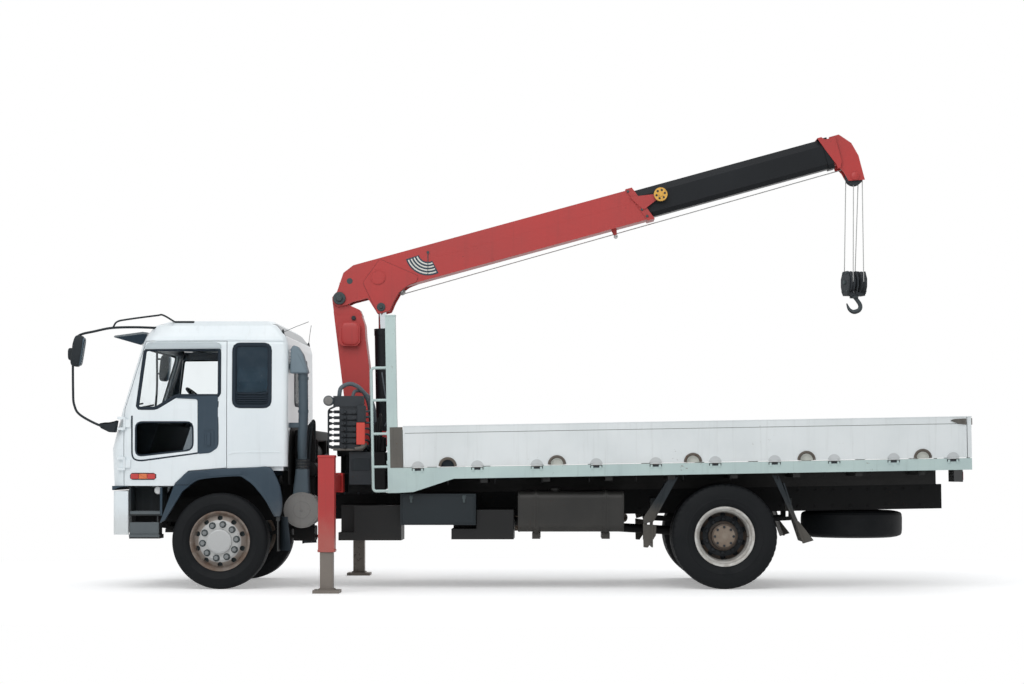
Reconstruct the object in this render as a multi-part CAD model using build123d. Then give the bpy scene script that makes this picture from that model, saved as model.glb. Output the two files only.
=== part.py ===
from build123d import *
import os
from math import cos, sin, tan, radians, degrees, atan2, hypot

os.makedirs("parts", exist_ok=True)

# Lengths in mm. Shapes are laid out with x rearward from the front axle, y to the truck's right and z up
# from the ground; ROW_SHIFT then puts the origin under the middle of the whole.

# overall
FRONT_REACH = 1492.0
TAIL_REACH = 7479.1
ROW_SHIFT = (FRONT_REACH - TAIL_REACH) / 2
RAKE = 1.0
FIT = 0.4
PLAY = 6.0

# wheels and axles
WHEELBASE = 5020.0
FRONT_TYRE_D = 958.0
FRONT_TYRE_W = 276.0
REAR_TYRE_D = 1050.0
REAR_TYRE_W = 279.0
RIM_FLANGE_D = 597.0
RIM_W = 210.0
FRONT_TRACK = 1925.0
REAR_TRACK = 1650.0
DUAL_SPACING = 324.0
KINGPIN_OFFSET = 112.0
KINGPIN_R = 22.0
SPINDLE_R = 42.0
REAR_STUB_R = 62.0
HAND_HOLES = 10
FRONT_Z = FRONT_TYRE_D / 2
REAR_Z = REAR_TYRE_D / 2
KINGPIN_Y = FRONT_TRACK / 2 - KINGPIN_OFFSET

# ladder frame
FRAME_TOP_Z = 915.0
FRAME_H = 250.0
FRAME_HALF = 430.0
FRAME_FLANGE = 75.0
FRAME_WEB = 9.0
FRAME_FRONT = -985.0
FRAME_OVERHANG = 2270.0
FRAME_REAR = WHEELBASE + FRAME_OVERHANG
CROSS_MEMBERS = (-880.0, 1900.0, 2900.0, WHEELBASE - 870.0, WHEELBASE + 760.0, FRAME_REAR - 110.0)
SPARE_BEHIND = 1405.0
SPARE_Z = 626.0
CROSS_W = 60.0
TOW_R = 21.0
TOW_OUT = 15.0

# cab
CAB_WALL = 45.0
CAB_BOTTOM = 1030.0
CAB_REAR = 676.0
CAB_HALF = 1100.0
CAB_FLOOR_Z = 1180.0
CAB_FLOOR_T = 40.0
ROOF_Z = 2675.0
ROOF_SPLIT = 2473.0
DOOR_FRONT = -945.0
DOOR_REAR = 70.0
TILT_X = -930.0
TILT_Z = 770.0
TILT_R = 28.0
DOOR_HINGE_Z = (1250.0, 1650.0)
DOOR_HINGE_OUT = 13.0
GLASS_IN = 16.0
GLASS_T = 6.0
DASH_HALF = 925.0
DOOR_IN = 985.0
PANEL_OUT = 1250.0

# crane
SLEW_X = 1300.0
BOOM_PIN_X = 1092.0
BOOM_PIN_Z = 2967.0
BOOM_ANGLE = 15.3
BOOM_PIN_R = 38.0
LIFT_FOOT_X = 1550.0
LIFT_FOOT_Z = 1498.0
LIFT_EYE_U = 394.6
LIFT_EYE_V = -201.2
BARREL_R = 84.0
BARREL_L = 1160.0
ROD_R = 43.0
LIFT_PIN_R = 40.0
EAR_HALF = 122.0
BASE_HALF = 125.0
BASE_LOW = -52.0
BASE_HIGH = 295.0
BASE_WALL = 8.0
BASE_END_TOP = 3225.0
BASE_END_LOW = 3372.0
MID_HALF = 100.0
MID_GAP = 10.0
MID_WALL = 7.0
MID_TAIL = 2350.0
MID_END = 5330.0
TIP_HALF = 76.0
TIP_TAIL = 2860.0
HEAD_U = 5509.0
HEAD_V = -185.0
HEAD_SHEAVE_R = 90.0
HEAD_TOP = 278.0
BLOCK_Z = 3138.0
BLOCK_TURN = 16.4
BLOCK_SHEAVE_R = 122.0
FALL_ALONG = 60.0
FALL_R = 6.0
HOOK_BOTTOM = 2830.0
HOOK_R = 24.0
HOOK_BEND = 62.0
COLUMN_FOOT_Z = 1560.0
TABLE_Z = 1400.0
TABLE_R = 225.0
COLUMN_HALF = 118.0
COLUMN_TOP_HALF = 96.0
WINCH_OUT = 74.0
LEVERS = 7
LEVER_LOW = 1420.0
LEVER_PITCH = 58.0
WINCH_ROUND = 60.0

# outriggers
LEG_X = 1130.0
LEG_Y = 1650.0
BEAM_Z = 1060.0
BEAM_W = 136.0
BEAM_H = 156.0
BEAM_IN = 575.0
BOX_WALL = 12.0
BOX_HALF_L = 1000.0
BOX_GAP = 5.0
HOUSING_W = 156.0
HOUSING_LOW = 396.0
HOUSING_HIGH = 1321.0
LEG_W = 124.0
LEG_SHORT = 420.0
FOOT_L = 256.0
FOOT_W = 250.0
FOOT_T = 30.0
FOOT_LIFT = 1.0

# load bed, in its own raked axes from the headboard's front and the deck's top
BED_X = 1677.0
DECK_Z = 1205.0
BED_L = 5784.0
BED_HALF = 1170.0
DECK_T = 60.0
RAIL_H = 115.0
RAIL_T = 40.0
GATE_T = 40.0
GATE_H = 413.0
GATE_FRONT = 158.0
HINGE_OUT = 10.0
HINGE_R = 9.0
HINGE_PIN_R = 5.0
HINGE_PAD_R = 62.0
HINGE_PITCH = 588.5
HINGE_FIRST = 300.0
HINGES = 10
TAIL_HINGES = 4
TAIL_HINGE_PITCH = 620.0
POST_W = 101.0
POST_D = 80.0
POST_TOP = 1513.0
POST_LOW = -246.0
LADDER_OUT = -147.0
LADDER_R = 14.0
LADDER_RUNGS = (-225.0, 15.0, 342.0, 675.0, 995.0)
BEARER_PITCH = 620.0
BEARERS = 9
ROPE_HOLES = (595.0, 1677.0, 3023.0, 4147.0, 5298.0)
ROPE_HOLE_R = 70.0

SLOPE = tan(radians(RAKE))
BED_AT = Location((BED_X, 0, DECK_Z), (0, -RAKE, 0))
FRAME_AT = Location((0, 0, FRAME_TOP_Z), (0, -RAKE, 0))
BOOM_AT = Location((BOOM_PIN_X, 0, BOOM_PIN_Z), (0, -BOOM_ANGLE, 0))


def block(x0, x1, y0, y1, z0, z1):
    return Pos((x0 + x1) / 2, (y0 + y1) / 2, (z0 + z1) / 2) * Box(abs(x1 - x0), abs(y1 - y0), abs(z1 - z0))


def outline(points, radius=0):
    if radius == 0:
        return make_face(Polyline(*points, close=True))
    return make_face(FilletPolyline(*points, radius=radius, close=True))


# plates cut from an outline: seen from the side (x, z), from the front (y, z) and from above (x, y)
def plate_y(points, y0, y1, radius=0):
    face = outline([(x, min(y0, y1), z) for x, z in points], radius)
    return extrude(face, amount=abs(y1 - y0), dir=(0, 1, 0))


def plate_x(points, x0, x1, radius=0):
    face = outline([(min(x0, x1), y, z) for y, z in points], radius)
    return extrude(face, amount=abs(x1 - x0), dir=(1, 0, 0))


def plate_z(points, z0, z1, radius=0):
    face = outline([(x, y, min(z0, z1)) for x, y in points], radius)
    return extrude(face, amount=abs(z1 - z0), dir=(0, 0, 1))


def rod(start, end, radius):
    start = Vector(*start)
    end = Vector(*end)
    return Solid.make_cylinder(radius, (end - start).length, Plane(origin=start, z_dir=end - start))


def pin_y(x, z, radius, y0, y1):
    return rod((x, min(y0, y1), z), (x, max(y0, y1), z), radius)


def pipe(points, radius, bend):
    path = FilletPolyline(*points, radius=bend) if len(points) > 2 else Line(*points)
    return sweep(Plane(path @ 0, z_dir=path % 0) * Circle(radius), path=path)


def turned(profile, x, y, z, side=1):
    face = make_face(Polyline(*[(r, side * w, 0) for r, w in profile], close=True))
    return Pos(x, y, z) * revolve(face, axis=Axis.Y)


def joined(shapes):
    total = shapes[0]
    for shape in shapes[1:]:
        total = total + shape
    return total


def frame_top(x):
    return FRAME_TOP_Z + x * SLOPE


def frame_bottom(x):
    return frame_top(x) - FRAME_H / cos(radians(RAKE))


# wheels
def rim_front(side):
    w = RIM_W / 2
    r = RIM_FLANGE_D / 2
    profile = [
        (r, -w), (r, -w + 12), (r - 15, -w + 15), (r - 19, -w + 45), (r - 36, -w + 60),
        (r - 36, w - 75), (r - 19, w - 55), (r - 15, w - 15), (r, w - 12), (r, w), (r - 13, w),
        (r - 26, w - 14), (r - 40, w - 40), (r - 78, w - 12), (r - 112, w + 10), (122, w + 14),
        (120, w + 38), (0, w + 40), (0, w + 5), (SPINDLE_R + FIT, w + 5), (SPINDLE_R + FIT, -25),
        (120, -25), (120, w - 30), (r - 112, w - 10), (r - 70, w - 40), (r - 48, w - 75),
        (r - 48, -w + 60), (r - 30, -w + 42), (r - 26, -w + 10), (r - 13, -w),
    ]
    wheel = turned(profile, 0, 0, 0, side)
    for i in range(HAND_HOLES):
        turn = radians(360 / HAND_HOLES * (i + 0.5))
        hole = pin_y((r - 66) * cos(turn), (r - 66) * sin(turn), 26, side * (w - 70), side * (w + 30))
        wheel = wheel - hole
    return Pos(0, side * FRONT_TRACK / 2, FRONT_Z) * wheel


def rim_rear(side):
    w = RIM_W / 2
    r = RIM_FLANGE_D / 2
    o = DUAL_SPACING / 2
    half = [
        (r, o + w), (r - 13, o + w), (r - 26, o + w - 10), (r - 30, o + w - 42), (r - 48, o + w - 62),
        (r - 48, o - 40), (r - 74, 42), (r - 100, 14), (150, 14), (148, 60), (128, 66), (124, 190),
        (105, 200), (0, 204), (0, 170), (REAR_STUB_R + FIT, 170),
    ]
    outer = [
        (r - 15, o - w + 15), (r - 19, o - w + 45), (r - 36, o - w + 60), (r - 36, o + w - 75),
        (r - 19, o + w - 55), (r - 15, o + w - 15), (r, o + w - 12),
    ]
    inner = [
        (REAR_STUB_R + FIT, -170), (118, -170), (122, -60), (150, -14), (r - 100, -14), (r - 74, -42),
        (r - 48, -o + 40), (r - 48, -o - w + 62), (r - 30, -o - w + 42), (r - 26, -o - w + 10),
        (r - 13, -o - w), (r, -o - w), (r, -o - w + 12), (r - 15, -o - w + 15), (r - 19, -o - w + 55),
        (r - 36, -o - w + 75), (r - 36, -o + w - 60), (r - 19, -o + w - 45), (r - 15, -o + w - 15),
        (r, -o + w - 12), (r, -o + w), (r - 13, -o + w), (r - 26, -o + w - 10), (r - 26, o - w + 10),
        (r - 13, o - w), (r, o - w), (r, o - w + 12),
    ]
    wheel = turned(half + inner + outer, 0, 0, 0, side)
    for i in range(HAND_HOLES):
        turn = radians(360 / HAND_HOLES * (i + 0.5))
        hole = pin_y((r - 88) * cos(turn), (r - 88) * sin(turn), 28, -side * 90, side * 90)
        wheel = wheel - hole
    return Pos(WHEELBASE, side * REAR_TRACK / 2, REAR_Z) * wheel


def tyre_ring(diameter, width, offset):
    r = diameter / 2
    w = width / 2
    bead = RIM_FLANGE_D / 2 + FIT
    half = [(bead, w - 38), (bead + 18, w - 26), (bead + 70, w - 4), (r - 105, w), (r - 50, w - 9),
            (r - 16, w - 22), (r - 4, w - 42), (r, w - 80)]
    near = [(radius, offset - along) for radius, along in half]
    far = [(radius, offset + along) for radius, along in reversed(half)]
    return near + far


def tyre_front(side):
    return turned(tyre_ring(FRONT_TYRE_D, FRONT_TYRE_W, 0), 0, side * FRONT_TRACK / 2, FRONT_Z, side)


def tyre_rear(side):
    y = side * REAR_TRACK / 2
    rings = [turned(tyre_ring(REAR_TYRE_D, REAR_TYRE_W, s * DUAL_SPACING / 2), WHEELBASE, y, REAR_Z, side)
             for s in (-1, 1)]
    return Compound(children=[rings[0], rings[1]])


def knuckle(side):
    y = side * KINGPIN_Y
    lugs = [rod((0, y, FRONT_Z + s * 66), (0, y, FRONT_Z + s * 100), 50) for s in (-1, 1)]
    pin = rod((0, y, FRONT_Z - 100), (0, y, FRONT_Z + 100), KINGPIN_R)
    upright = block(-48, 48, y + side * 40, y + side * 78, FRONT_Z - 100, FRONT_Z + 100)
    web = [block(-40, 40, y, y + side * 60, FRONT_Z + s * 66, FRONT_Z + s * 100) for s in (-1, 1)]
    upright = upright - rod((0, y, FRONT_Z - 65), (0, y, FRONT_Z + 65), 64)
    spindle = pin_y(0, FRONT_Z, SPINDLE_R, y + side * 66, side * (FRONT_TRACK / 2 + RIM_W / 2))
    return joined(lugs + web + [pin, upright, spindle])


# running gear
def front_axle():
    beam = plate_x([
        (-KINGPIN_Y, FRONT_Z - 45), (-KINGPIN_Y + 130, FRONT_Z - 60), (-KINGPIN_Y + 260, FRONT_Z - 130),
        (KINGPIN_Y - 260, FRONT_Z - 130), (KINGPIN_Y - 130, FRONT_Z - 60), (KINGPIN_Y, FRONT_Z - 45),
        (KINGPIN_Y, FRONT_Z + 45), (KINGPIN_Y - 180, FRONT_Z + 40), (KINGPIN_Y - 290, FRONT_Z - 30),
        (-KINGPIN_Y + 290, FRONT_Z - 30), (-KINGPIN_Y + 180, FRONT_Z + 40), (-KINGPIN_Y, FRONT_Z + 45),
    ], -42, 42)
    bosses = [rod((0, s * KINGPIN_Y, FRONT_Z - 65), (0, s * KINGPIN_Y, FRONT_Z + 65), 55) for s in (-1, 1)]
    bores = [rod((0, s * KINGPIN_Y, FRONT_Z - 80), (0, s * KINGPIN_Y, FRONT_Z + 80), KINGPIN_R + FIT)
             for s in (-1, 1)]
    axle = joined([beam] + bosses)
    for bore in bores:
        axle = axle - bore
    return axle


def rear_axle():
    inner = REAR_TRACK / 2 - DUAL_SPACING / 2 - RIM_W / 2
    tube = pin_y(WHEELBASE, REAR_Z, 78, -inner + 40, inner - 40)
    stub = pin_y(WHEELBASE, REAR_Z, REAR_STUB_R, -REAR_TRACK / 2 - 165, REAR_TRACK / 2 + 165)
    case = pin_y(WHEELBASE, REAR_Z, 205, -95, 95)
    nose = rod((WHEELBASE - 150, 0, REAR_Z + 10), (WHEELBASE - 330, 0, REAR_Z + 20), 90)
    return joined([tube, stub, case, nose, drive_shaft()])


SPRINGS = ((0.0, FRONT_Z - 30, 700.0, 640.0), (WHEELBASE, REAR_Z + 78, 760.0, 712.0))


def leaf_springs():
    solids = []
    for x, seat, half, eye in SPRINGS:
        for side in (-1, 1):
            y0 = side * (FRAME_HALF - FRAME_FLANGE)
            y1 = side * FRAME_HALF
            low = seat + FIT
            leaf = plate_y([
                (x - half, eye - 40), (x - half * 0.5, low + 50), (x - 110, low), (x + 110, low),
                (x + half * 0.5, low + 50), (x + half, eye - 40), (x + half, eye),
                (x + half * 0.5, low + 84), (x, low + 78), (x - half * 0.5, low + 84), (x - half, eye),
            ], y0, y1)
            for s in (-1, 1):
                hanger = x + s * (half - 25)
                top = frame_bottom(hanger - 25) - 0.1
                leaf = leaf + block(hanger - 25, hanger + 25, y0, y1, eye - 30, top)
            solids.append(leaf)
    return Compound(children=solids)


def engine():
    x0, x1 = -600.0, 460.0
    body = block(x0, x1, -320, 320, 690, 1125)
    sump = block(x0 + 120, 300, -200, 200, 575, 690)
    gearbox = plate_y([(x1, 640), (1020, 660), (1020, 860), (x1, 1040)], -210, 210)
    mounts = [block(-300, -200, s * 320, s * (FRAME_HALF - FRAME_FLANGE - 0.5), 760, 840) for s in (-1, 1)]
    webs = [block(-300, -200, s * 320, s * (FRAME_HALF - FRAME_WEB), 790, 830) for s in (-1, 1)]
    return joined([body, sump, gearbox] + mounts + webs)


def drive_shaft():
    start = (1020.6, 0, 760)
    end = (WHEELBASE - 320, 0, REAR_Z + 20)
    shaft = rod(start, end, 46)
    yokes = [rod(start, (1110, 0, 757), 72), rod((WHEELBASE - 420, 0, REAR_Z + 25), end, 72)]
    return joined([shaft] + yokes) - block(900, 1020.6, -100, 100, 600, 900)


# ladder frame
def ladder_frame():
    y1 = FRAME_HALF
    y0 = FRAME_HALF - FRAME_FLANGE
    solids = []
    for side in (-1, 1):
        rail = block(FRAME_FRONT, FRAME_REAR, side * y0, side * y1, -FRAME_H, 0)
        inside = block(FRAME_FRONT - 1, FRAME_REAR + 1, side * (y0 - 1), side * (y1 - FRAME_WEB),
                       -FRAME_H + FRAME_WEB, -FRAME_WEB)
        solids.append(rail - inside)
    for x in CROSS_MEMBERS:
        low = -FRAME_H + 2 if x < 0 else -FRAME_H * 0.5
        high = -FRAME_H + 36 if x < 0 else -20
        solids.append(block(x - CROSS_W / 2, x + CROSS_W / 2, -y1 + 4, y1 - 4, low, high))
    lug = block(FRAME_REAR - 100, FRAME_REAR + 60, -60, 60, -160, -110)
    lug = lug - rod((FRAME_REAR + TOW_OUT, 0, -170), (FRAME_REAR + TOW_OUT, 0, -100), TOW_R)
    frame = FRAME_AT * joined(solids + [lug])
    frame = frame + pin_y(TILT_X, TILT_Z, TILT_R, -y1 + 2, y1 - 2)
    for side in (-1, 1):
        frame = frame + block(540, 640, side * 340, side * y1, frame_top(540) - 8, CAB_FLOOR_Z - FIT)
    return frame


def front_bumper():
    skin = plate_z([(-1060, -1095), (-1060, 1095), (-905, 1095), (-905, -1095)], 545, 978, [60, 60, 10, 10])
    hollow = plate_z([(-1032, -1067), (-1032, 1067), (-890, 1067), (-890, -1067)], 540, 990, [34, 34, 5, 5])
    bumper = skin - hollow
    for side in (-1, 1):
        stay = block(-1040, FRAME_FRONT, side * 365, side * 425, 690, 860)
        bumper = bumper + stay
        bumper = bumper - block(-1100, -1000, side * 640, side * 940, 745, 905)
    return bumper


def lamps():
    solids = []
    for side in (-1, 1):
        solids.append(block(-1066, -1034, side * (640 + FIT), side * (940 - FIT), 745 + FIT, 905 - FIT))
        tail = block(BED_L - 178, BED_L - 92, side * 850, side * (BED_HALF - 20), -RAIL_H - 118, -RAIL_H)
        solids.append(BED_AT * tail)
    return Compound(children=solids)


def fuel_tank():
    x0, x1 = 2965.0, 4020.0
    y0, y1 = -1075.0, -600.0
    tank = plate_x([(y0, 572), (y1, 572), (y1, 972), (y0, 972)], x0, x1, 70)
    for x in (x0 + 180, x1 - 180):
        hoop = plate_x([(y0 - 6, 560), (y1 + 6, 560), (y1 + 6, 978), (y0 - 6, 978)], x - 28, x + 28, 74)
        arm = block(x - 40, x + 40, y0 + 60, -FRAME_HALF, 500, 561)
        post = block(x - 40, x + 40, -FRAME_HALF - 70, -FRAME_HALF, 500, frame_bottom(x) + 90)
        tank = tank + hoop + arm + post
    return tank


def side_boxes():
    left = block(1796, 2545, -1080, -600, 640, 950)
    left = left + block(1900, 2440, -600, -FRAME_HALF, 800, 900)
    cell = block(2300, 2920, -1010, -FRAME_HALF, 495, 790)
    cell = cell - block(2290, 2545 + PLAY, -1090, -590, 600, 800)
    air = block(1160, 1790, -880, -FRAME_HALF, 480, 830) - block(1100, 1320, -1000, -600, 560, 840)
    right = block(1796, 2545, 600, 1080, 640, 950) + block(1900, 2440, FRAME_HALF, 600, 800, 900)
    return Compound(children=[left + cell, air, right])


def air_cleaner():
    x, z = 795.0, 786.0
    can = pin_y(x, z, 172, -925, -520)
    lid = pin_y(x, z, 178, -932, -900)
    arm = block(x - 60, x + 60, -560, -FRAME_HALF, 720, 860)
    neck = block(x - 60, x + 60, -900, -780, z, 1190)
    bellows = rod((x, -840, 1190), (x, -840, 1296), 66)
    return joined([can, lid, arm, neck, bellows])


def muffler():
    can = rod((2700, 760, 690), (3600, 760, 690), 165)
    arms = [block(x - 30, x + 30, FRAME_HALF, 700, 760, 860) for x in (2850, 3450)]
    outlet = pipe([(3590, 760, 690), (3900, 760, 690), (4080, 1040, 660)], 50, 120)
    return joined([can, outlet] + arms)


def spare_wheel():
    x, z = WHEELBASE + SPARE_BEHIND, SPARE_Z
    ring = turned(tyre_ring(REAR_TYRE_D, REAR_TYRE_W, 0), 0, 0, 0)
    r = RIM_FLANGE_D / 2
    disc = turned([(r + FIT, -40), (r + FIT, 40), (r - 40, 40), (r - 60, 10), (60, 10), (60, -10),
                   (r - 60, -10), (r - 40, -40)], 0, 0, 0)
    wheel = Pos(x, 0, z) * Rot(90, 0, 0) * (ring + disc)
    hanger = block(x - 50, x + 50, -40, 40, z - 10, frame_top(x - 50) - 120)
    cross = block(x - 50, x + 50, -FRAME_HALF + FRAME_WEB, FRAME_HALF - FRAME_WEB, frame_top(x) - 190,
                  frame_top(x) - 120)
    return joined([wheel, hanger, cross])


def mudguards():
    solids = []
    for side in (-1, 1):
        y0 = side * 680
        y1 = side * 1120
        strip = plate_y([(WHEELBASE - 590, 1060), (WHEELBASE - 578, 1054), (WHEELBASE - 714, 668),
                         (WHEELBASE - 714, 420), (WHEELBASE - 728, 420), (WHEELBASE - 728, 668)], y0, y1)
        stay = block(WHEELBASE - 722, WHEELBASE - 680, side * FRAME_HALF, side * 700, 850, 900)
        arm = block(WHEELBASE - 722, WHEELBASE - 640, side * 640, side * 760, 760, 900)
        solids.append(joined([strip, stay, arm]))
        back = plate_y([(WHEELBASE + 590, 1060), (WHEELBASE + 578, 1054), (WHEELBASE + 702, 680),
                        (WHEELBASE + 772, 474), (WHEELBASE + 786, 478), (WHEELBASE + 716, 684)], y0, y1)
        stay = block(WHEELBASE + 660, WHEELBASE + 710, side * FRAME_HALF, side * 700, 850, 900)
        arm = block(WHEELBASE + 632, WHEELBASE + 700, side * 640, side * 760, 780, 900)
        solids.append(joined([back, stay, arm]))
    return Compound(children=solids)


def cab_steps():
    solids = []
    for side in (-1, 1):
        y1 = side * 1085
        y0 = side * 800
        well = block(-898, -570, y0, y1, 735, 1015)
        well = well - block(-880, -592, side * 835, side * 1100, 775, 1030)
        tread = block(-898, -600, side * 840, y1, 505, 545)
        sides = [block(x, x + 14, side * 860, side * 1070, 520, 745) for x in (-890, -625)]
        arm = block(-860, -780, side * FRAME_HALF, y0, 740, 830)
        plate = block(-896, -604, side * 1062, side * 1074, 540, 668)
        # the arch's front leg stays with the steps when the cab tilts
        leg = plate_y(list(ARCH[:3]) + list(reversed(ARCH_IN[:3])), side * FLARE_IN,
                      side * (CAB_HALF + FLARE_OUT))
        leg = leg - block(-700, 0, side * 900, side * 1300, ARCH_SPLIT_Z, 1400)
        solids.append(joined([well, tread, plate, leg, arm] + sides))
        flap = block(575, 588, side * 945, side * 1105, 380, 720)
        flap = flap + block(566, 600, side * FRAME_HALF, side * 1105, 680, 720)
        solids.append(flap)
    return Compound(children=solids)


# cab: rows of height, front, rear, half width, front corner radius, rear corner radius
CAB_ROWS = (
    (CAB_BOTTOM, -1070.0, CAB_REAR, CAB_HALF - 12, 150.0, 50.0),
    (1400.0, -1085.0, CAB_REAR, CAB_HALF, 160.0, 50.0),
    (1790.0, -985.0, CAB_REAR, CAB_HALF, 160.0, 50.0),
    (2440.0, -785.0, CAB_REAR, CAB_HALF - 28, 130.0, 55.0),
    (2515.0, -755.0, CAB_REAR - 16, CAB_HALF - 42, 130.0, 60.0),
    (2625.0, -680.0, CAB_REAR - 100, CAB_HALF - 90, 130.0, 80.0),
    (ROOF_Z, -550.0, CAB_REAR - 165, CAB_HALF - 170, 130.0, 80.0),
)
ARCH = ((-590, 660), (-441, 1051), (-308, 1175), (33, 1203), (507, 1222), (CAB_REAR + 60, 1222))
ARCH_SPLIT_Z = 1036.0
FLARE_IN = CAB_HALF - CAB_WALL + 2
FLARE_OUT = 12.0
ARCH_IN = ((-540, 690), (-366, 976), (-233, 1080), (203, 1128), (299, 1075), (431, 930), (536, 729))
WINDOW = ((-815, 1800), (-630, 1800), (-425, 1925), (0, 1925), (0, 2392), (-738, 2385))
LOW_WINDOW = ((-842, 1308), (-252, 1308), (-252, 1672), (-842, 1672))
QUARTER = ((143, 1818), (502, 1818), (502, 2436), (143, 2436))


def cab_solid(inset, low=0.0, top=0.0):
    faces = []
    for i, (z, front, rear, half, r_front, r_rear) in enumerate(CAB_ROWS):
        if i == 0:
            z = z - low
        if i == len(CAB_ROWS) - 1:
            z = z - top
        f = front + inset
        b = rear - inset
        h = half - inset
        corner = max(r_rear - inset, 4)
        faces.append(outline([(f, -h, z), (b, -h, z), (b, h, z), (f, h, z)],
                             [r_front - inset, corner, corner, r_front - inset]))
    return loft(faces, ruled=True)


def raised(points, dz):
    return [(x, z + dz) for x, z in points]


def door_outline(grow):
    lean = (785.0 - 985.0) / (2440.0 - 1790.0)
    x_top = DOOR_FRONT - lean * (ROOF_SPLIT - 1790.0)
    return [(DOOR_FRONT - grow, CAB_BOTTOM - 20), (DOOR_REAR + grow, CAB_BOTTOM - 20),
            (DOOR_REAR + grow, ROOF_SPLIT - PLAY + grow), (x_top - grow, ROOF_SPLIT - PLAY + grow),
            (DOOR_FRONT - grow, 1790)]


def cab_panels():
    outer = cab_solid(0)
    cavity = cab_solid(CAB_WALL, 12, CAB_WALL)
    under = plate_y(list(ARCH) + [(CAB_REAR + 60, 600), (-590, 600)], -1200, 1200)
    shell = outer - cavity - under
    front_hole = plate_x([(-925, 1815), (925, 1815), (925, 2415), (-925, 2415)], -1300, -500, 80)
    rear_hole = plate_x([(-520, 1850), (520, 1850), (520, 2330), (-520, 2330)], 300, 900, 60)
    shell = shell - front_hole - rear_hole
    quarter = plate_y(QUARTER, -1200, 1200, 24)
    shell = shell - quarter
    doors = {}
    openings = []
    for side in (-1, 1):
        prism = plate_y(door_outline(0), side * DOOR_IN, side * PANEL_OUT)
        swept = plate_y(raised(ARCH, PLAY) + [(CAB_REAR + 60, 600), (-590, 600)], -1250, 1250)
        window = plate_y(WINDOW, side * DOOR_IN, side * PANEL_OUT, 22)
        low_window = plate_y(LOW_WINDOW, side * DOOR_IN, side * PANEL_OUT, 30)
        leaf = (shell & prism) - swept - window - low_window
        doors[side] = (leaf, window, low_window)
        openings.append(plate_y(door_outline(PLAY), side * (DOOR_IN - PLAY), side * PANEL_OUT))
    rest = shell
    for opening in openings:
        rest = rest - opening
    roof = rest & block(-1300, 900, -1300, 1300, ROOF_SPLIT, ROOF_Z + 100)
    below = rest & block(-1300, 900, -1300, 1300, 900, ROOF_SPLIT)
    front = below & block(-1300, -500, -1300, 1300, 900, ROOF_SPLIT)
    rear = below & block(0, 900, -1300, 1300, 900, ROOF_SPLIT)
    floor = cavity & block(-1200, CAB_REAR, -1300, 1300, CAB_FLOOR_Z, CAB_FLOOR_Z + CAB_FLOOR_T)
    for side in (-1, 1):
        floor = floor - block(DOOR_FRONT - 60, DOOR_REAR + PLAY, side * (CAB_HALF - CAB_WALL - 16),
                              side * 1300, 900, 1400)
    rear = rear + floor
    for side in (-1, 1):
        arm = plate_y([(TILT_X - 46, TILT_Z - 46), (TILT_X + 60, TILT_Z - 30), (-640, CAB_FLOOR_Z + 2),
                       (-700, CAB_FLOOR_Z + 2), (TILT_X - 45, TILT_Z + 30)], side * 240, side * 285, 12)
        rear = rear + (arm - pin_y(TILT_X, TILT_Z, TILT_R + FIT, -500, 500))
    skin = cab_solid(GLASS_IN) - cab_solid(GLASS_IN + GLASS_T)
    panes = [skin & front_hole, skin & rear_hole]
    panes = panes + [skin & plate_y(QUARTER, side * DOOR_IN, side * PANEL_OUT, 24) for side in (-1, 1)]
    glass = Compound(children=[solid for pane in panes for solid in pane.solids()])
    door_glass = {}
    for side in (-1, 1):
        leaf, window, low_window = doors[side]
        panes = [skin & window, skin & low_window]
        door_glass[side] = Compound(children=[solid for pane in panes for solid in pane.solids()])
    leaves = {side: doors[side][0] for side in (-1, 1)}
    for side in (-1, 1):
        x = DOOR_FRONT + 5
        y = side * (CAB_HALF + DOOR_HINGE_OUT)
        for z in DOOR_HINGE_Z:
            barrel = rod((x, y, z - 40), (x, y, z + 40), 11)
            tab = block(x, x + 60, side * (CAB_HALF - 4), y, z - 40, z + 40)
            bore = rod((x, y, z - 90), (x, y, z + 90), 6 + FIT)
            leaves[side] = leaves[side] + ((barrel + tab) - bore)
            pin = rod((x, y, z - 66), (x, y, z + 66), 6)
            lugs = [rod((x, y, z + s * 40.5), (x, y, z + s * 66), 11) for s in (-1, 1)]
            hubs = [block(x - 70, x, side * (CAB_HALF - 40), y, z + s * 40.5, z + s * 66) for s in (-1, 1)]
            hubs = [hub - block(DOOR_FRONT - PLAY, 0, -side * 10, side * (CAB_HALF + 3), z - 100, z + 100)
                    for hub in hubs]
            front = joined([front, pin] + lugs + hubs)
    return front, rear, roof, glass, leaves, door_glass


def cab_flares():
    solids = []
    rear_edge = [(CAB_REAR - 40, 1221.9), (CAB_REAR - 36, 731), (536, 729)]
    ring = list(ARCH[:5]) + rear_edge + list(reversed(ARCH_IN[:-1]))
    for side in (-1, 1):
        flare = plate_y(ring, side * FLARE_IN, side * (CAB_HALF + FLARE_OUT))
        flare = flare - block(-700, 0, side * 900, side * 1300, 600, ARCH_SPLIT_Z + PLAY)
        flare = flare + block(DOOR_REAR + 40, 500, side * 700, side * (FLARE_IN + 3), 1140, CAB_FLOOR_Z)
        solids.append(flare)
    return Compound(children=solids)


def sun_visor():
    shade = plate_y([(-742, 2532), (-770, 2562), (-1040, 2532), (-1088, 2458), (-1076, 2452), (-1030, 2514),
                     (-772, 2544)], -900, 900)
    feet = [plate_y([(-770, 2476), (-742, 2560), (-800, 2556)], s * 700, s * 730) for s in (-1, 1)]
    shade = joined([shade] + feet)
    return shade - cab_solid(-FIT)


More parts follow.
